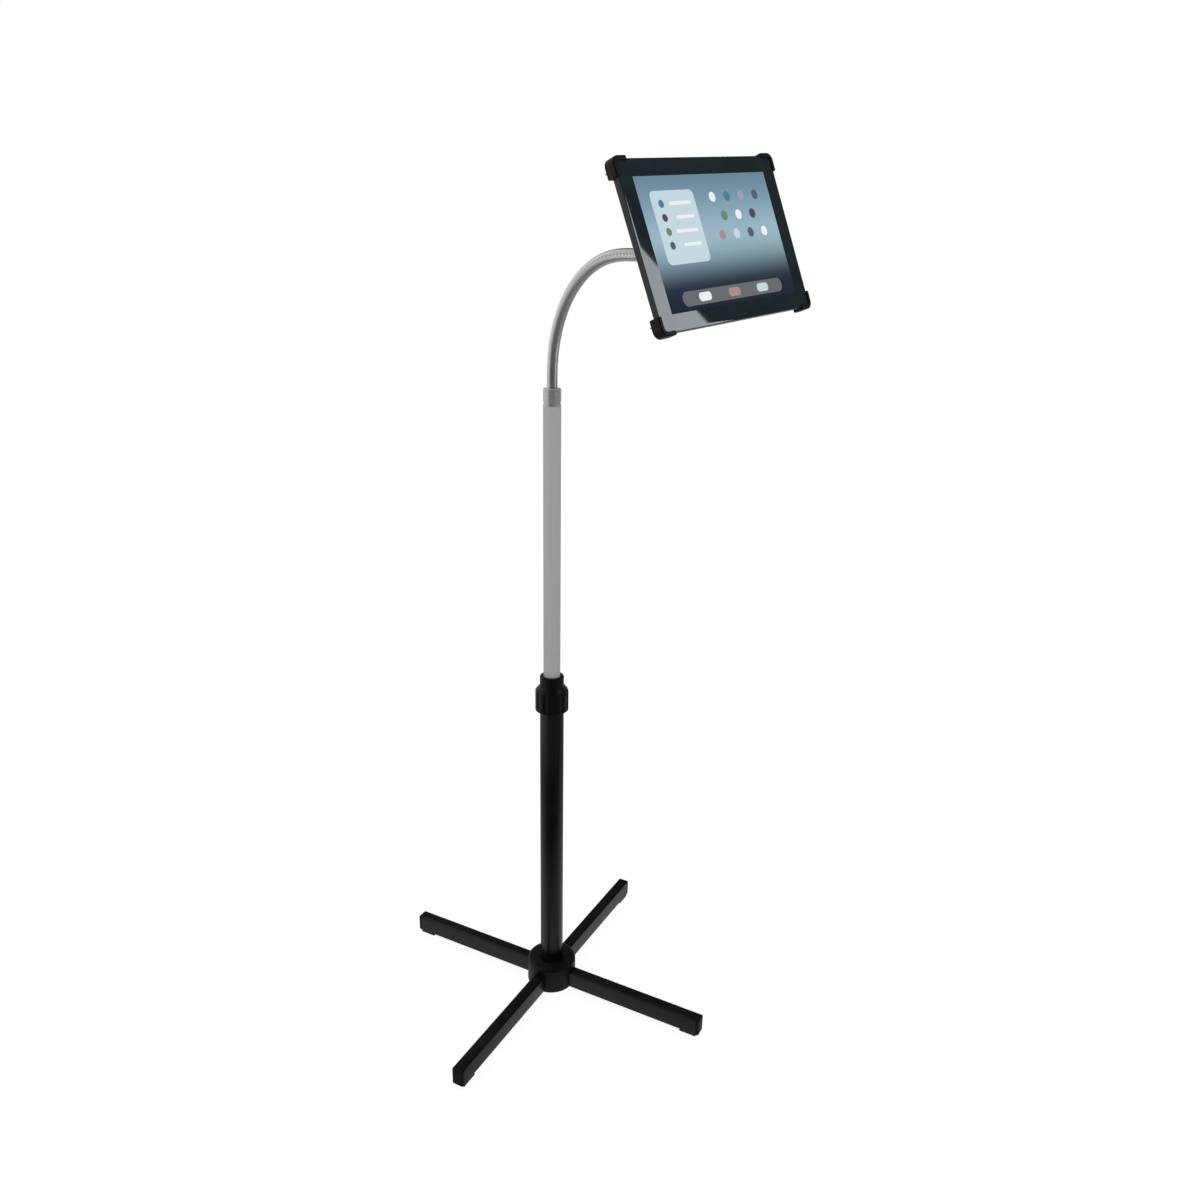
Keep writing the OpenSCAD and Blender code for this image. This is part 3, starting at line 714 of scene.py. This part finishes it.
# %% Legs and caps
leg_width = 18 * mm
leg_height = 27 * mm
leg_wall = 1.5 * mm
leg_corner = 2.4 * mm
leg_middle = 16.5 * mm
leg_start = 21.55 * mm
leg_end = 255 * mm
leg_reach = 260 * mm
base_turn = math.radians(22.4)
cap_round = 2.6 * mm
cap_joint = 0.25 * mm
cap_plug = 12 * mm
cap_flat = 1 * mm


def at_leg(points, number):
    """Slab points, drawn with depth along z, laid along leg number's own direction."""
    turn = base_turn + number * np.pi / 2
    along = np.array([math.cos(turn), math.sin(turn), 0.0])
    aside = np.array([-math.sin(turn), math.cos(turn), 0.0])
    return points @ np.stack([aside, upright, along]) + upright * leg_middle


tube_ends = np.array([[0.0, leg_start], [0.0, leg_end], [leg_wall, leg_end], [leg_wall, leg_start]])
leg_points, leg_faces = slab(leg_width, leg_height, leg_corner, tube_ends, closed=True)
cap_profile = rounded(
    [[leg_wall, leg_end - cap_plug], [leg_wall, leg_end], [0.0, leg_end + cap_joint],
     [0.0, leg_reach], [leg_width / 2 - cap_flat, leg_reach]],
    [0, 0, 0.2 * mm, cap_round, 0], steps=8, closed=False,
)
cap_points, cap_faces = slab(leg_width, leg_height, leg_corner, cap_profile)
for number in range(1, 5):
    make_piece(
        f"leg_tube_{number}", [(at_leg(leg_points, number), leg_faces)],
        "painted_black", "base", [f"leg_{number}"],
    )
    make_piece(
        f"leg_end_{number}", [(at_leg(cap_points, number), cap_faces)],
        "moulded_black", "base", [f"leg_cap_{number}"],
    )

# %% [markdown]
# ## The hub and the pole
# The hub is turned, with a broad round edge on top. Its four sockets are filled by
# the legs, so they need no cut of their own. The pole is two tubes, one in the
# other. Each is a ring profile turned about the pole, with its sharp cut edges
# broken. Turning a profile on a fine grid gives a smooth outline, where a cylinder
# with few sides would show corners.

# %% Hub
hub_radius = 38 * mm
hub_foot_top = 3 * mm
hub_top = 43 * mm
hub_floor = 10 * mm
hub_edge = 4 * mm
pole_socket = 17.55 * mm
bolt_recess = 10.4 * mm
hub_profile = rounded(
    [[bolt_recess, hub_foot_top], [hub_radius, hub_foot_top], [hub_radius, hub_top],
     [pole_socket, hub_top], [pole_socket, hub_floor], [bolt_recess, hub_floor]],
    np.array([0.3, 1.2, hub_edge / mm, 0.9, 0.3, 0.3]) * mm, steps=9,
)
make_piece("hub_moulding", [turned(hub_profile, sides=128)], "moulded_black", "base", ["hub"])

# %% Tubes


def tube_profile(node, wall, edge):
    """The cut through a tube's wall, from the box of its node, with broken edges."""
    low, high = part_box(node)
    outside = (high.x - low.x) / 2
    corners = [[outside - wall, low.z], [outside, low.z], [outside, high.z], [outside - wall, high.z]]
    return rounded(corners, [edge] * 4, steps=4)


make_piece("lower_pole", [turned(tube_profile("lower_tube", wall=1.5 * mm, edge=0.4 * mm))],
           "painted_black", "base", ["lower_tube"])
make_piece("upper_pole", [turned(tube_profile("upper_tube", wall=1.2 * mm, edge=0.3 * mm))],
           "satin_silver", "mast", ["upper_tube"])

# %% [markdown]
# ## The twist lock
# The collar is gripped by hand, so it has flutes. They could be cut with a row of
# cylinders, which leaves sharp ridges. Here the collar's profile is turned, and its
# radius dips by a smooth scallop that repeats round it and fades out at the
# shoulder, as a moulded flute does.

# %% Collar
collar_low, collar_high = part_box("lock_collar")
collar_radius = (collar_high.x - collar_low.x) / 2
rim_radius = 17.5 * mm
throat_radius = 12.55 * mm
bore_radius = 16.8 * mm
grip_length = 31 * mm
shoulder_length = 8 * mm
bore_length = 35.3 * mm
foot_edge = 2 * mm
grip_rows_from = 1.6 * mm
grip_rows_below = 4 * mm
flute_power = 1.6
outer_share = 0.8
outer_fade = 0.1


def with_rows(profile, radius, heights, above):
    """Adds points at some heights to a profile's straight wall, whose lower edge ends at above."""
    split = int(np.argmax(profile[:, 1] > above))
    wall = np.stack([np.full(len(heights), radius), heights], axis=1)
    return np.insert(profile, split, wall, axis=0)


def fluted(profile, count, depth, low, high, fade, sides):
    """A turned profile whose radius dips by a scallop, deepest between count ridges.
    The dip fades in above low and out below high, and holds only on the outside."""
    points, faces = turned(profile, sides)
    radius = np.hypot(points[:, 0], points[:, 1])
    angle = np.arctan2(points[:, 1], points[:, 0])
    scallop = (0.5 + 0.5 * np.cos(count * angle)) ** flute_power
    rise = np.clip((points[:, 2] - low) / fade, 0, 1) * np.clip((high - points[:, 2]) / fade, 0, 1)
    outside = np.clip((radius / profile[:, 0].max() - outer_share) / outer_fade, 0, 1)
    dip = 1 - depth * scallop * rise * rise * (3 - 2 * rise) * outside / radius
    points[:, :2] *= dip[:, None]
    return points, faces


collar_foot = collar_low.z
collar_corners = [
    [bore_radius, collar_foot], [collar_radius, collar_foot],
    [collar_radius, collar_foot + grip_length],
    [rim_radius, collar_foot + grip_length + shoulder_length],
    [rim_radius, collar_high.z], [throat_radius, collar_high.z],
    [throat_radius, collar_foot + bore_length], [bore_radius, collar_foot + bore_length],
]
collar_profile = rounded(
    collar_corners, np.array([0.4, 1.4, 5.0, 5.0, 2.2, 0.5, 0.3, 0.3]) * mm, steps=9,
)
grip_rows = np.linspace(
    collar_foot + grip_rows_from, collar_foot + grip_length - grip_rows_below, 14,
)[1:-1]
collar_profile = with_rows(collar_profile, collar_radius, grip_rows, collar_foot + foot_edge)
collar_shell = fluted(
    collar_profile, count=12, depth=1.3 * mm, low=collar_foot + 1 * mm,
    high=collar_foot + grip_length + 3 * mm, fade=5 * mm, sides=240,
)
make_piece("collar_grip", [collar_shell], "moulded_black", "collar", ["lock_collar"])

# %% [markdown]
# ## The ferrule
# The ferrule joins the pole to the gooseneck. A turner would cut it from bar: a
# shank that goes down the tube, a groove near the foot, and a broken top edge that
# catches the light. It is one profile, drawn up the outside and down the seat.

# %% Ferrule
ferrule_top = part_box("ferrule")[1].z
ferrule_radius = 12.25 * mm
ferrule_length = 23 * mm
ferrule_foot = ferrule_top - ferrule_length
ferrule_bore = 5 * mm
shank_length = 25 * mm
shank_foot = ferrule_foot - shank_length
shank_radius = 11 * mm
groove_low = ferrule_foot + 2 * mm
groove_width = 3 * mm
groove_high = groove_low + groove_width
groove_radius = 11.45 * mm
neck_seat = 7.55 * mm
seat_depth = 18 * mm
seat_floor = ferrule_top - seat_depth
ferrule_profile = rounded(
    [[ferrule_bore, shank_foot], [shank_radius, shank_foot], [shank_radius, ferrule_foot],
     [ferrule_radius, ferrule_foot], [ferrule_radius, groove_low], [groove_radius, groove_low],
     [groove_radius, groove_high], [ferrule_radius, groove_high], [ferrule_radius, ferrule_top],
     [neck_seat, ferrule_top], [neck_seat, seat_floor], [ferrule_bore, seat_floor]],
    np.array([0.2, 0.5, 0.1, 0.3, 0.3, 0.2, 0.2, 0.3, 1.8, 0.4, 0.2, 0.2]) * mm, steps=7,
)
make_piece("ferrule_turned", [turned(ferrule_profile)], "bright_steel", "mast", ["ferrule"])

# %% [markdown]
# ## The gooseneck
# A gooseneck is a tube wound from wire, so a shallow rib runs round it as a
# screw. The surface has two parameters: the distance along the neck and the angle
# round it. The middle line is found by adding up small steps along a lean that
# changes smoothly between the model's short sections. The skin is cut at the
# middle of each section, so that each length spans one hinge.

# %% Middle line of the gooseneck
neck_joints = [joint for joint in frame["joints"] if joint["child"].startswith("neck_")]
neck_radius = 7.5 * mm
neck_side = np.array([1.0, 0.0, 0.0])
section = 26.5 * mm
neck_sections = len(neck_joints) + 1
pivots = np.array([[0.0, 0.0, ferrule_top]] + [joint["pos_m"] for joint in neck_joints])
last_stride = ball - pivots[-1]
strides = np.concatenate([np.diff(pivots, axis=0), [last_stride]])
leans = np.arctan2(-strides[:, 1], strides[:, 2])
middles = (np.arange(neck_sections) + 0.5) * section

seated = 12 * mm
sleeve_cover = 1 * mm
wind_pitch = 2.5 * mm
rows_a_pitch = 10
neck_end = neck_sections * section - sleeve_cover
neck_rows = int(round((seated + neck_end) / wind_pitch * rows_a_pitch))
along = np.linspace(-seated, neck_end, neck_rows)
lean = np.interp(along, middles, leans)
slope = np.stack([0 * lean, -np.sin(lean), np.cos(lean)], axis=1)
small_steps = (slope[1:] + slope[:-1]) / 2 * np.diff(along)[:, None]
line = np.concatenate([[[0.0, 0.0, ferrule_top - seated]], small_steps]).cumsum(axis=0)
print("gooseneck ends at", line[-1].round(4), "rows", neck_rows)

# %% Skin of the gooseneck
wind_depth = 0.55 * mm
crest_power = 0.7
neck_sides = 40


def wound_skin():
    """A point is the middle line's point plus the radius along a direction square to it.
    The radius falls from the crest by the wind's depth where the wind's phase, the
    distance over the pitch less the angle over a full turn, is near a whole number."""
    angle = np.linspace(0, 2 * np.pi, neck_sides, endpoint=False)
    phase = along[:, None] / wind_pitch - angle / (2 * np.pi)
    groove = 1 - np.abs(np.sin(np.pi * phase)) ** crest_power
    radius = neck_radius - wind_depth * groove
    inner = np.stack([0 * lean, np.cos(lean), np.sin(lean)], axis=1)
    angle = angle[None, :, None]
    outwards = np.cos(angle) * neck_side + np.sin(angle) * inner[:, None, :]
    return line[:, None, :] + radius[:, :, None] * outwards, groove


skin, groove = wound_skin()
turn_step = np.roll(skin, -1, axis=1) - np.roll(skin, 1, axis=1)
normals = np.cross(turn_step, np.gradient(skin, axis=0))
normals /= np.linalg.norm(normals, axis=2, keepdims=True)
print("skin", skin.shape)

# %% Lengths of skin across the hinges


def neck_length(number):
    """The skin from the middle of one section to the middle of the next, across a hinge."""
    ends = np.searchsorted(along, [(number - 0.5) * section, (number + 0.5) * section])
    first = 0 if number == 1 else ends[0]
    last = ends[1] if number < len(neck_joints) else neck_rows - 1
    rows = slice(first, last + 1)
    name = f"neck_skin_{number}"
    mesh = bpy.data.meshes.new(name)
    faces = grid_faces(last + 1 - first, neck_sides)
    mesh.from_pydata(skin[rows].reshape(-1, 3).tolist(), [], faces.tolist())
    mesh.shade_smooth()
    # The groove depth goes with the mesh, and the finish uses it to paint shade into the grooves.
    depth = mesh.attributes.new("groove", "FLOAT", "POINT")
    depth.data.foreach_set("value", groove[rows].astype(np.float32).ravel())
    mesh.normals_split_custom_set_from_vertices(normals[rows].reshape(-1, 3).tolist())
    mesh.materials.append(finishes["gooseneck_steel"])
    piece = bpy.data.objects.new(name, mesh)
    scene.collection.objects.link(piece)
    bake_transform(piece)
    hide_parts(f"neck_section_{number}")
    return piece


neck_skins = [neck_length(number) for number, joint in enumerate(neck_joints, 1)]
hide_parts(f"neck_section_{neck_sections}")
print("skins", len(neck_skins), "faces", sum(len(piece.data.polygons) for piece in neck_skins))

# %% [markdown]
# ## The ball head
# Behind the tablet a fluted nut clamps the ball in a cup. The nut is made as the
# collar is: a turned profile with scallops, laid onto the head's slanting axis. The
# cup widens to a flange that carries the holder. The gooseneck's end sleeve is
# turned too, and laid along the neck's last section.

# %% Cup and end sleeve
cup_edge = 0.3 * mm
cup_opening = 11.05 * mm
cup_radius = 16.06 * mm
cup_floor = 12 * mm
flange_back = 22 * mm
flange_front = 26 * mm
flange_radius = 22 * mm
spindle = 6 * mm
spindle_end = 39.4 * mm
screw_bore = 2.1 * mm
bowl_corner = 8 * mm
cup_profile = rounded(
    [[cup_opening, cup_edge], [cup_radius, cup_edge], [cup_radius, flange_back],
     [flange_radius, flange_back], [flange_radius, flange_front], [spindle, flange_front],
     [spindle, spindle_end], [screw_bore, spindle_end], [screw_bore, cup_floor],
     [bowl_corner, bowl_corner]],
    np.array([0.2, 0.8, 2.0, 1.0, 1.0, 0.4, 0.4, 0.1, 0.1, 2.0]) * mm, steps=7,
)
make_piece("ball_cup", [placed(turned(cup_profile), at_head)], "moulded_black", "head", ["ball_socket"])

end_axis = last_stride / np.linalg.norm(last_stride)
end_axes = np.stack([neck_side, np.cross(end_axis, neck_side), end_axis])
sleeve_overlap = 8 * mm
sleeve_beyond = 10 * mm
sleeve_low = section - sleeve_overlap
sleeve_high = section + sleeve_beyond
sleeve_radius = 9 * mm
stud_bore = 5.05 * mm
sleeve_profile = rounded(
    [[neck_seat, sleeve_low], [sleeve_radius, sleeve_low], [sleeve_radius, sleeve_high],
     [stud_bore, sleeve_high], [stud_bore, section], [neck_seat, section]],
    np.array([0.3, 0.8, 2.2, 0.4, 0.1, 0.1]) * mm, steps=7,
)


def at_neck_end(points):
    """Points drawn about the last hinge, turned onto the neck's last section."""
    return pivots[-1] + points @ end_axes


make_piece("end_sleeve_turned", [placed(turned(sleeve_profile), at_neck_end)],
           "bright_steel", f"neck_{neck_sections}", ["end_sleeve"])

# %% Lock nut
nut_radius = 20.36 * mm
nut_bore = 16.36 * mm
nut_front = 14 * mm
nut_back = -3.5 * mm
ball_opening = 10.6 * mm
ball_seat = 11.2 * mm
nut_rows_from = 2.5 * mm
nut_rows_below = 2 * mm
nut_corners = [
    [ball_opening, nut_back], [nut_radius, nut_back], [nut_radius, nut_front],
    [nut_bore, nut_front], [nut_bore, 0.0], [ball_seat, 0.0],
]
nut_profile = rounded(nut_corners, np.array([0.3, 1.6, 1.2, 0.4, 0.3, 0.3]) * mm, steps=7)
nut_rows = np.linspace(nut_back + nut_rows_from, nut_front - nut_rows_below, 9)
nut_profile = with_rows(nut_profile, nut_radius, nut_rows, nut_back + foot_edge)
nut_shell = fluted(
    nut_profile, count=18, depth=1 * mm, low=nut_back, high=nut_front, fade=3 * mm, sides=252,
)
make_piece("nut_grip", [placed(nut_shell, at_head)], "moulded_black", "nut", ["lock_nut"])

# %% [markdown]
# ## The tray
# The tray behind the tablet is one moulding: a plate, an ear under each corner
# clip, two crossed ribs and a boss that turns on the spindle. The plate and the
# ears are slabs whose profile goes from the middle of the back, round the outer
# edge and over the face. The boss flares where it meets the plate, because a
# moulder rounds such a corner.

# %% Tray
tablet_width = 258 * mm
tablet_height = 172 * mm
tray_inset = 8 * mm
tray_corner = 6 * mm
tray_back = 39.4 * mm
tray_face = 41.9 * mm
clip_outside = 2.6 * mm
clip_length = 20 * mm
clip_corner = 8.6 * mm
boss_radius = 24 * mm
boss_back = 27 * mm
spindle_bore = 6.06 * mm
boss_flare = 3 * mm
rib_width = 6 * mm
rib_height = 4 * mm
rib_reach = 135 * mm
rib_crest = 0.4 * mm
rib_end = 0.05 * mm
plate_middle = 60 * mm
back_edge = 1.2 * mm
face_edge = 0.3 * mm
ear_corner = 1.5 * mm
ear_edge = 1 * mm
ear_reach = 4 * mm
flare_reach = 8 * mm
sunk = 0.5 * mm


def plate_profile(back, face, back_round, face_round, reach):
    """The cut of a plate, from its back over its edge to its face, drawn in as far as reach."""
    return rounded(
        [[reach, back], [0.0, back], [0.0, face], [reach, face]],
        [0, back_round, face_round, 0], steps=6, closed=False,
    )


def ear(side_x, side_y):
    """A square slab with one broad corner, under the clip at a corner of the tablet."""
    corners = np.repeat([clip_corner, ear_corner, ear_corner, ear_corner], per_corner)
    profile = plate_profile(tray_back, tray_face, ear_edge, face_edge, ear_reach)
    points, faces = slab(clip_length, clip_length, corners, profile)
    middle_x = tablet_width / 2 + clip_outside - clip_length / 2
    middle_y = tablet_height / 2 + clip_outside - clip_length / 2
    return (points + [middle_x, middle_y, 0.0]) * [side_x, side_y, 1.0], faces


tray_plate = slab(
    tablet_width - 2 * tray_inset, tablet_height - 2 * tray_inset, tray_corner,
    plate_profile(tray_back, tray_face, back_edge, face_edge, plate_middle),
)
boss_profile = rounded(
    [[spindle_bore, boss_back], [boss_radius, boss_back], [boss_radius, tray_back],
     [boss_radius + flare_reach, tray_back], [boss_radius + flare_reach, tray_back + sunk],
     [spindle_bore, tray_back + sunk]],
    np.array([0.5, 1.5, boss_flare / mm, 0.2, 0.2, 0.2]) * mm, steps=7,
)
rib_profile = plate_profile(
    tray_back - rib_height, tray_back + sunk, back_edge, 0.1 * mm, rib_width / 2 - rib_crest,
)


def rib(turn):
    """A round-ended bar through the tray's middle, turned in the holder's plane."""
    points, faces = slab(2 * rib_reach, rib_width, rib_width / 2 - rib_end, rib_profile)
    cosine, sine = math.cos(turn), math.sin(turn)
    return points @ np.array([[cosine, sine, 0], [-sine, cosine, 0], [0, 0, 1]]), faces


rib_turn = math.atan2(tablet_height, tablet_width)
tray_shells = [tray_plate, turned(boss_profile)]
tray_shells += [ear(side_x, side_y) for side_x in (-1, 1) for side_y in (-1, 1)]
tray_shells += [rib(rib_turn), rib(-rib_turn)]
make_piece("tray_moulding", [placed(shell, at_holder) for shell in tray_shells],
           "moulded_black", "holder", ["tray"])

# %% [markdown]
# ## The corner clips
# A clip is a wall that follows the tablet's round corner, with a lip over its
# face. Its cut is carried along the corner: straight, round a quarter circle, and
# straight again. A Bevel modifier breaks the two cut ends.

# %% Corner clips
tablet_corner = 6 * mm
clip_inside = 0.2 * mm
clip_reach = 2 * mm
lip_back = 51.2 * mm
lip_front = 52.7 * mm
clip_bend_steps = 12
end_break = 0.5 * mm
square_edge = math.radians(60)
clip_straight = clip_length - clip_outside - tablet_corner
clip_corners = [
    [clip_inside, tray_face], [clip_outside, tray_face], [clip_outside, lip_front],
    [-clip_reach, lip_front], [-clip_reach, lip_back], [clip_inside, lip_back],
]
clip_profile = rounded(clip_corners, np.array([0.2, 0.3, 1.4, 0.6, 0.3, 0.3]) * mm, steps=6)


def clip_shell(side_x, side_y):
    """The cut's (outwards, depth) points are laid square to a path round the tablet's corner."""
    bend = np.linspace(0, np.pi / 2, clip_bend_steps)
    normal = np.stack([np.cos(bend), np.sin(bend)], axis=1)
    corner = np.array([tablet_width / 2 - tablet_corner, tablet_height / 2 - tablet_corner])
    path = corner + tablet_corner * normal
    path = np.concatenate([[path[0] - [0, clip_straight]], path, [path[-1] - [clip_straight, 0]]])
    normal = np.concatenate([normal[:1], normal, normal[-1:]])
    flat = path[:, None, :] + clip_profile[None, :, :1] * normal[:, None, :]
    depth = np.broadcast_to(clip_profile[:, 1:], (*flat.shape[:2], 1))
    points = np.concatenate([flat * [side_x, side_y], depth], axis=2)
    return points.reshape(-1, 3), grid_faces(*points.shape[:2])


def clip_piece(number):
    """One clip with its two cut ends closed and its edges broken."""
    side_x = -1 if number <= 2 else 1
    side_y = 1 if number % 2 == 1 else -1
    piece = make_piece(
        f"clip_{number}", [placed(clip_shell(side_x, side_y), at_holder)],
        "moulded_black", "holder", [f"corner_clip_{number}"],
    )
    shell = bmesh.new()
    shell.from_mesh(piece.data)
    open_edges = [edge for edge in shell.edges if edge.is_boundary]
    bmesh.ops.holes_fill(shell, edges=open_edges, sides=0)
    bmesh.ops.recalc_face_normals(shell, faces=shell.faces)
    shell.to_mesh(piece.data)
    shell.free()
    piece.data.set_sharp_from_angle(angle=sharp_edge)
    bevel = piece.modifiers.new("broken_ends", "BEVEL")
    bevel.width = end_break
    bevel.segments = 2
    bevel.limit_method = "ANGLE"
    bevel.angle_limit = square_edge
    return piece


clip_pieces = [clip_piece(number) for number in range(1, 5)]
print("clips", len(clip_pieces))

# %% [markdown]
# ## The tablet
# The tablet is a dark shell with a gloss border and a display. The shell's back
# edge is rounded. The border is a closed ring: its profile runs from the outer
# edge over the face to the display's window and back underneath. The window's
# outline has nearly square corners, so the ring goes from one outline to another.

# %% Shell and border
tablet_back = 42.5 * mm
border_back = 49.5 * mm
window_width = 217 * mm
window_height = 136 * mm
window_corner = 0.6 * mm
shell_wall = 1.5 * mm
border_ledge = 0.6 * mm
border_reach = 3 * mm
window_break = 0.25 * mm
shell_profile = rounded(
    [[plate_middle, tablet_back], [0.0, tablet_back], [0.0, border_back], [shell_wall, border_back],
     [shell_wall, tablet_back + shell_wall], [plate_middle, tablet_back + shell_wall]],
    np.array([0, 2.5, 0.1, 0.1, 1.2, 0]) * mm, steps=7, closed=False,
)
case_shell = slab(tablet_width, tablet_height, tablet_corner, shell_profile)
make_piece("tablet_case", [placed(case_shell, at_holder)], "tablet_shell", "holder", ["tablet_back"])


def rings_of(edge, width, height, corner):
    """A ring for each (inset, depth) of an edge: the outline drawn in, or out where it is negative."""
    inset, depth = edge[:, :1], edge[:, 1:]
    across, upwards = outline(width - 2 * inset, height - 2 * inset, corner - inset)
    return np.stack([across, upwards, depth + 0 * across], axis=-1)


def border_ring():
    """Outer rings drawn in over a rounded edge, then the window's ring on the face and below."""
    edge = rounded(
        [[border_ledge, border_back], [0.0, border_back], [0.0, glass_face], [border_reach, glass_face]],
        np.array([0, 0.1, 0.9, 0]) * mm, steps=7, closed=False,
    )
    window = np.array([[-window_break, glass_face], [0.0, glass_face - window_break], [0.0, border_back]])
    outer = rings_of(edge, tablet_width, tablet_height, tablet_corner)
    rings = np.concatenate([outer, rings_of(window, window_width, window_height, window_corner)])
    return rings.reshape(-1, 3), grid_faces(*rings.shape[:2], wrap_rows=True)


make_piece("tablet_border", [placed(border_ring(), at_holder)],
           "tablet_glass", "holder", ["tablet_frame"])

# %% [markdown]
# ## The display
# The display glows with a plain design of its own: a sky-like fade, a card with
# lines, a cluster of discs and a low bar. The fade is a colour ramp over the
# display's own UV map. The design is inlaid as thin shapes with their own colours
# in an attribute, so that their edges stay sharp from close by.

# %% Display finish and panel
display_face = 50.9 * mm
display_gap = 0.05 * mm
unlit_colour = (0.004, 0.005, 0.006, 1)
unlit_roughness = 0.6


def lit_finish(name):
    """A finish that glows, nearly black by itself, with no mirror gloss of its own."""
    tree, shader = new_finish(name, specular=0.0)
    shader.inputs["Base Color"].default_value = unlit_colour
    shader.inputs["Roughness"].default_value = unlit_roughness
    shader.inputs["Emission Strength"].default_value = 1.0
    return tree, shader


def tablet_screen():
    """A lit panel: a fade of light from its lower edge to its upper one."""
    tree, shader = lit_finish("tablet_screen")
    place = add_node(tree, "UVMap", {}, uv_map="display")["UV"]
    height = add_node(tree, "SeparateXYZ", {0: place})["Y"]
    fade = [
        (0.00, (30, 36, 50)), (0.13, (34, 42, 57)), (0.22, (48, 62, 77)), (0.35, (122, 148, 160)),
        (0.50, (158, 187, 197)), (0.63, (148, 178, 192)), (0.80, (124, 154, 170)), (1.00, (102, 130, 146)),
    ]
    tint(tree, height, fade, shader.inputs["Emission Color"], "B_SPLINE")


tablet_screen()
panel_profile = np.array([
    [plate_middle, border_back], [0.0, border_back], [0.0, display_face], [plate_middle, display_face],
])
panel_shell = slab(
    window_width - 2 * display_gap, window_height - 2 * display_gap, window_corner, panel_profile,
)
display = make_piece("display_panel", [placed(panel_shell, at_holder)],
                     "tablet_screen", "holder", ["tablet_display"])


def map_flat(piece, name, width, height):
    """A UV map of a flat piece: its own x and y over its width and height."""
    mesh = piece.data
    places = np.zeros(len(mesh.vertices) * 3)
    mesh.vertices.foreach_get("co", places)
    local = (places.reshape(-1, 3) - ball) @ holder_axes.T
    corner_vertex = np.zeros(len(mesh.loops), int)
    mesh.loops.foreach_get("vertex_index", corner_vertex)
    flat = local[corner_vertex, :2] / [width, height] + 0.5
    mesh.uv_layers.new(name=name).data.foreach_set("uv", flat.ravel())


map_flat(display, "display", window_width, window_height)

# %% Design on the display
white = srgb(236, 240, 244)
pale = srgb(196, 216, 224)
slate = srgb(84, 98, 112)
umber = srgb(84, 72, 78)
lilac = srgb(158, 156, 190)
teal = srgb(78, 128, 148)
moss = srgb(112, 132, 112)
rose = srgb(176, 138, 146)
dusk = srgb(104, 108, 110)
inlay_sunk = 0.05 * mm
ground_lift = 0.03 * mm
shape_lift = 0.06 * mm
ground_width = 40


def design():
    """(x, y, width, height, corner radius, colour) in millimetres from the display's middle."""
    card = [(-58, 16, 68, 74, 6, pale)]
    card += [(-78, 40 - 14 * k, 8, 8, 4, c) for k, c in enumerate([teal, umber, moss, slate])]
    card += [(-49 + 3 * (k % 2), 40 - 14 * k, 34 - 6 * (k % 2), 3.4, 1.7, white) for k in range(4)]
    colours = [white, teal, lilac, slate, moss, white, umber, rose, pale, slate, white]
    places = [(6 + 25 * k, 44) for k in range(4)] + [(18 + 25 * k, 24) for k in range(3)]
    places += [(6 + 25 * k, 4) for k in range(4)]
    discs = [(x, y, 10.5, 10.5, 5.2, c) for (x, y), c in zip(places, colours)]
    bar = [(0, -56, 172, 15, 7, dusk)]
    bar += [(-50 + 50 * k, -56, 20, 9, 4, c) for k, c in enumerate([white, rose, pale])]
    return card + discs + bar


def inlay_shells():
    """Each shape is a thin slab, a step higher than the one that it may lie on."""
    shells, colours = [], []
    for x, y, width, height, radius, colour in design():
        lift = ground_lift if width > ground_width else shape_lift
        profile = np.array([[0.0, display_face - inlay_sunk], [0.0, display_face + lift]])
        points, faces = slab(width * mm, height * mm, radius * mm, profile)
        shells.append((at_holder(points + np.array([x, y, 0]) * mm), faces))
        colours.append(colour)
    return shells, colours


def display_inlay():
    """Lit shapes that take their colour from an attribute of the mesh."""
    tree, shader = lit_finish("display_inlay")
    colour = add_node(tree, "Attribute", {}, attribute_name="shape_colour")["Color"]
    tree.links.new(colour, shader.inputs["Emission Color"])


display_inlay()
shells, shape_colours = inlay_shells()
make_piece("display_design", shells, "tablet_screen", "holder",
           finish=finishes["display_inlay"], colours=shape_colours)

# %% [markdown]
# ## Pieces that stay as they are
# The ball, the screws, washers and rubber feet, and what is hidden in the tubes and
# the tablet, already have their right shape in the solid model. They only take the
# finish of the slot that the record names for them.

# %% Finishes for the solid pieces
for part in frame["record"]["subparts"]:
    solid = nodes[part["node"]]
    solid.data.materials.clear()
    solid.data.materials.append(finishes[part["material_slot"]])
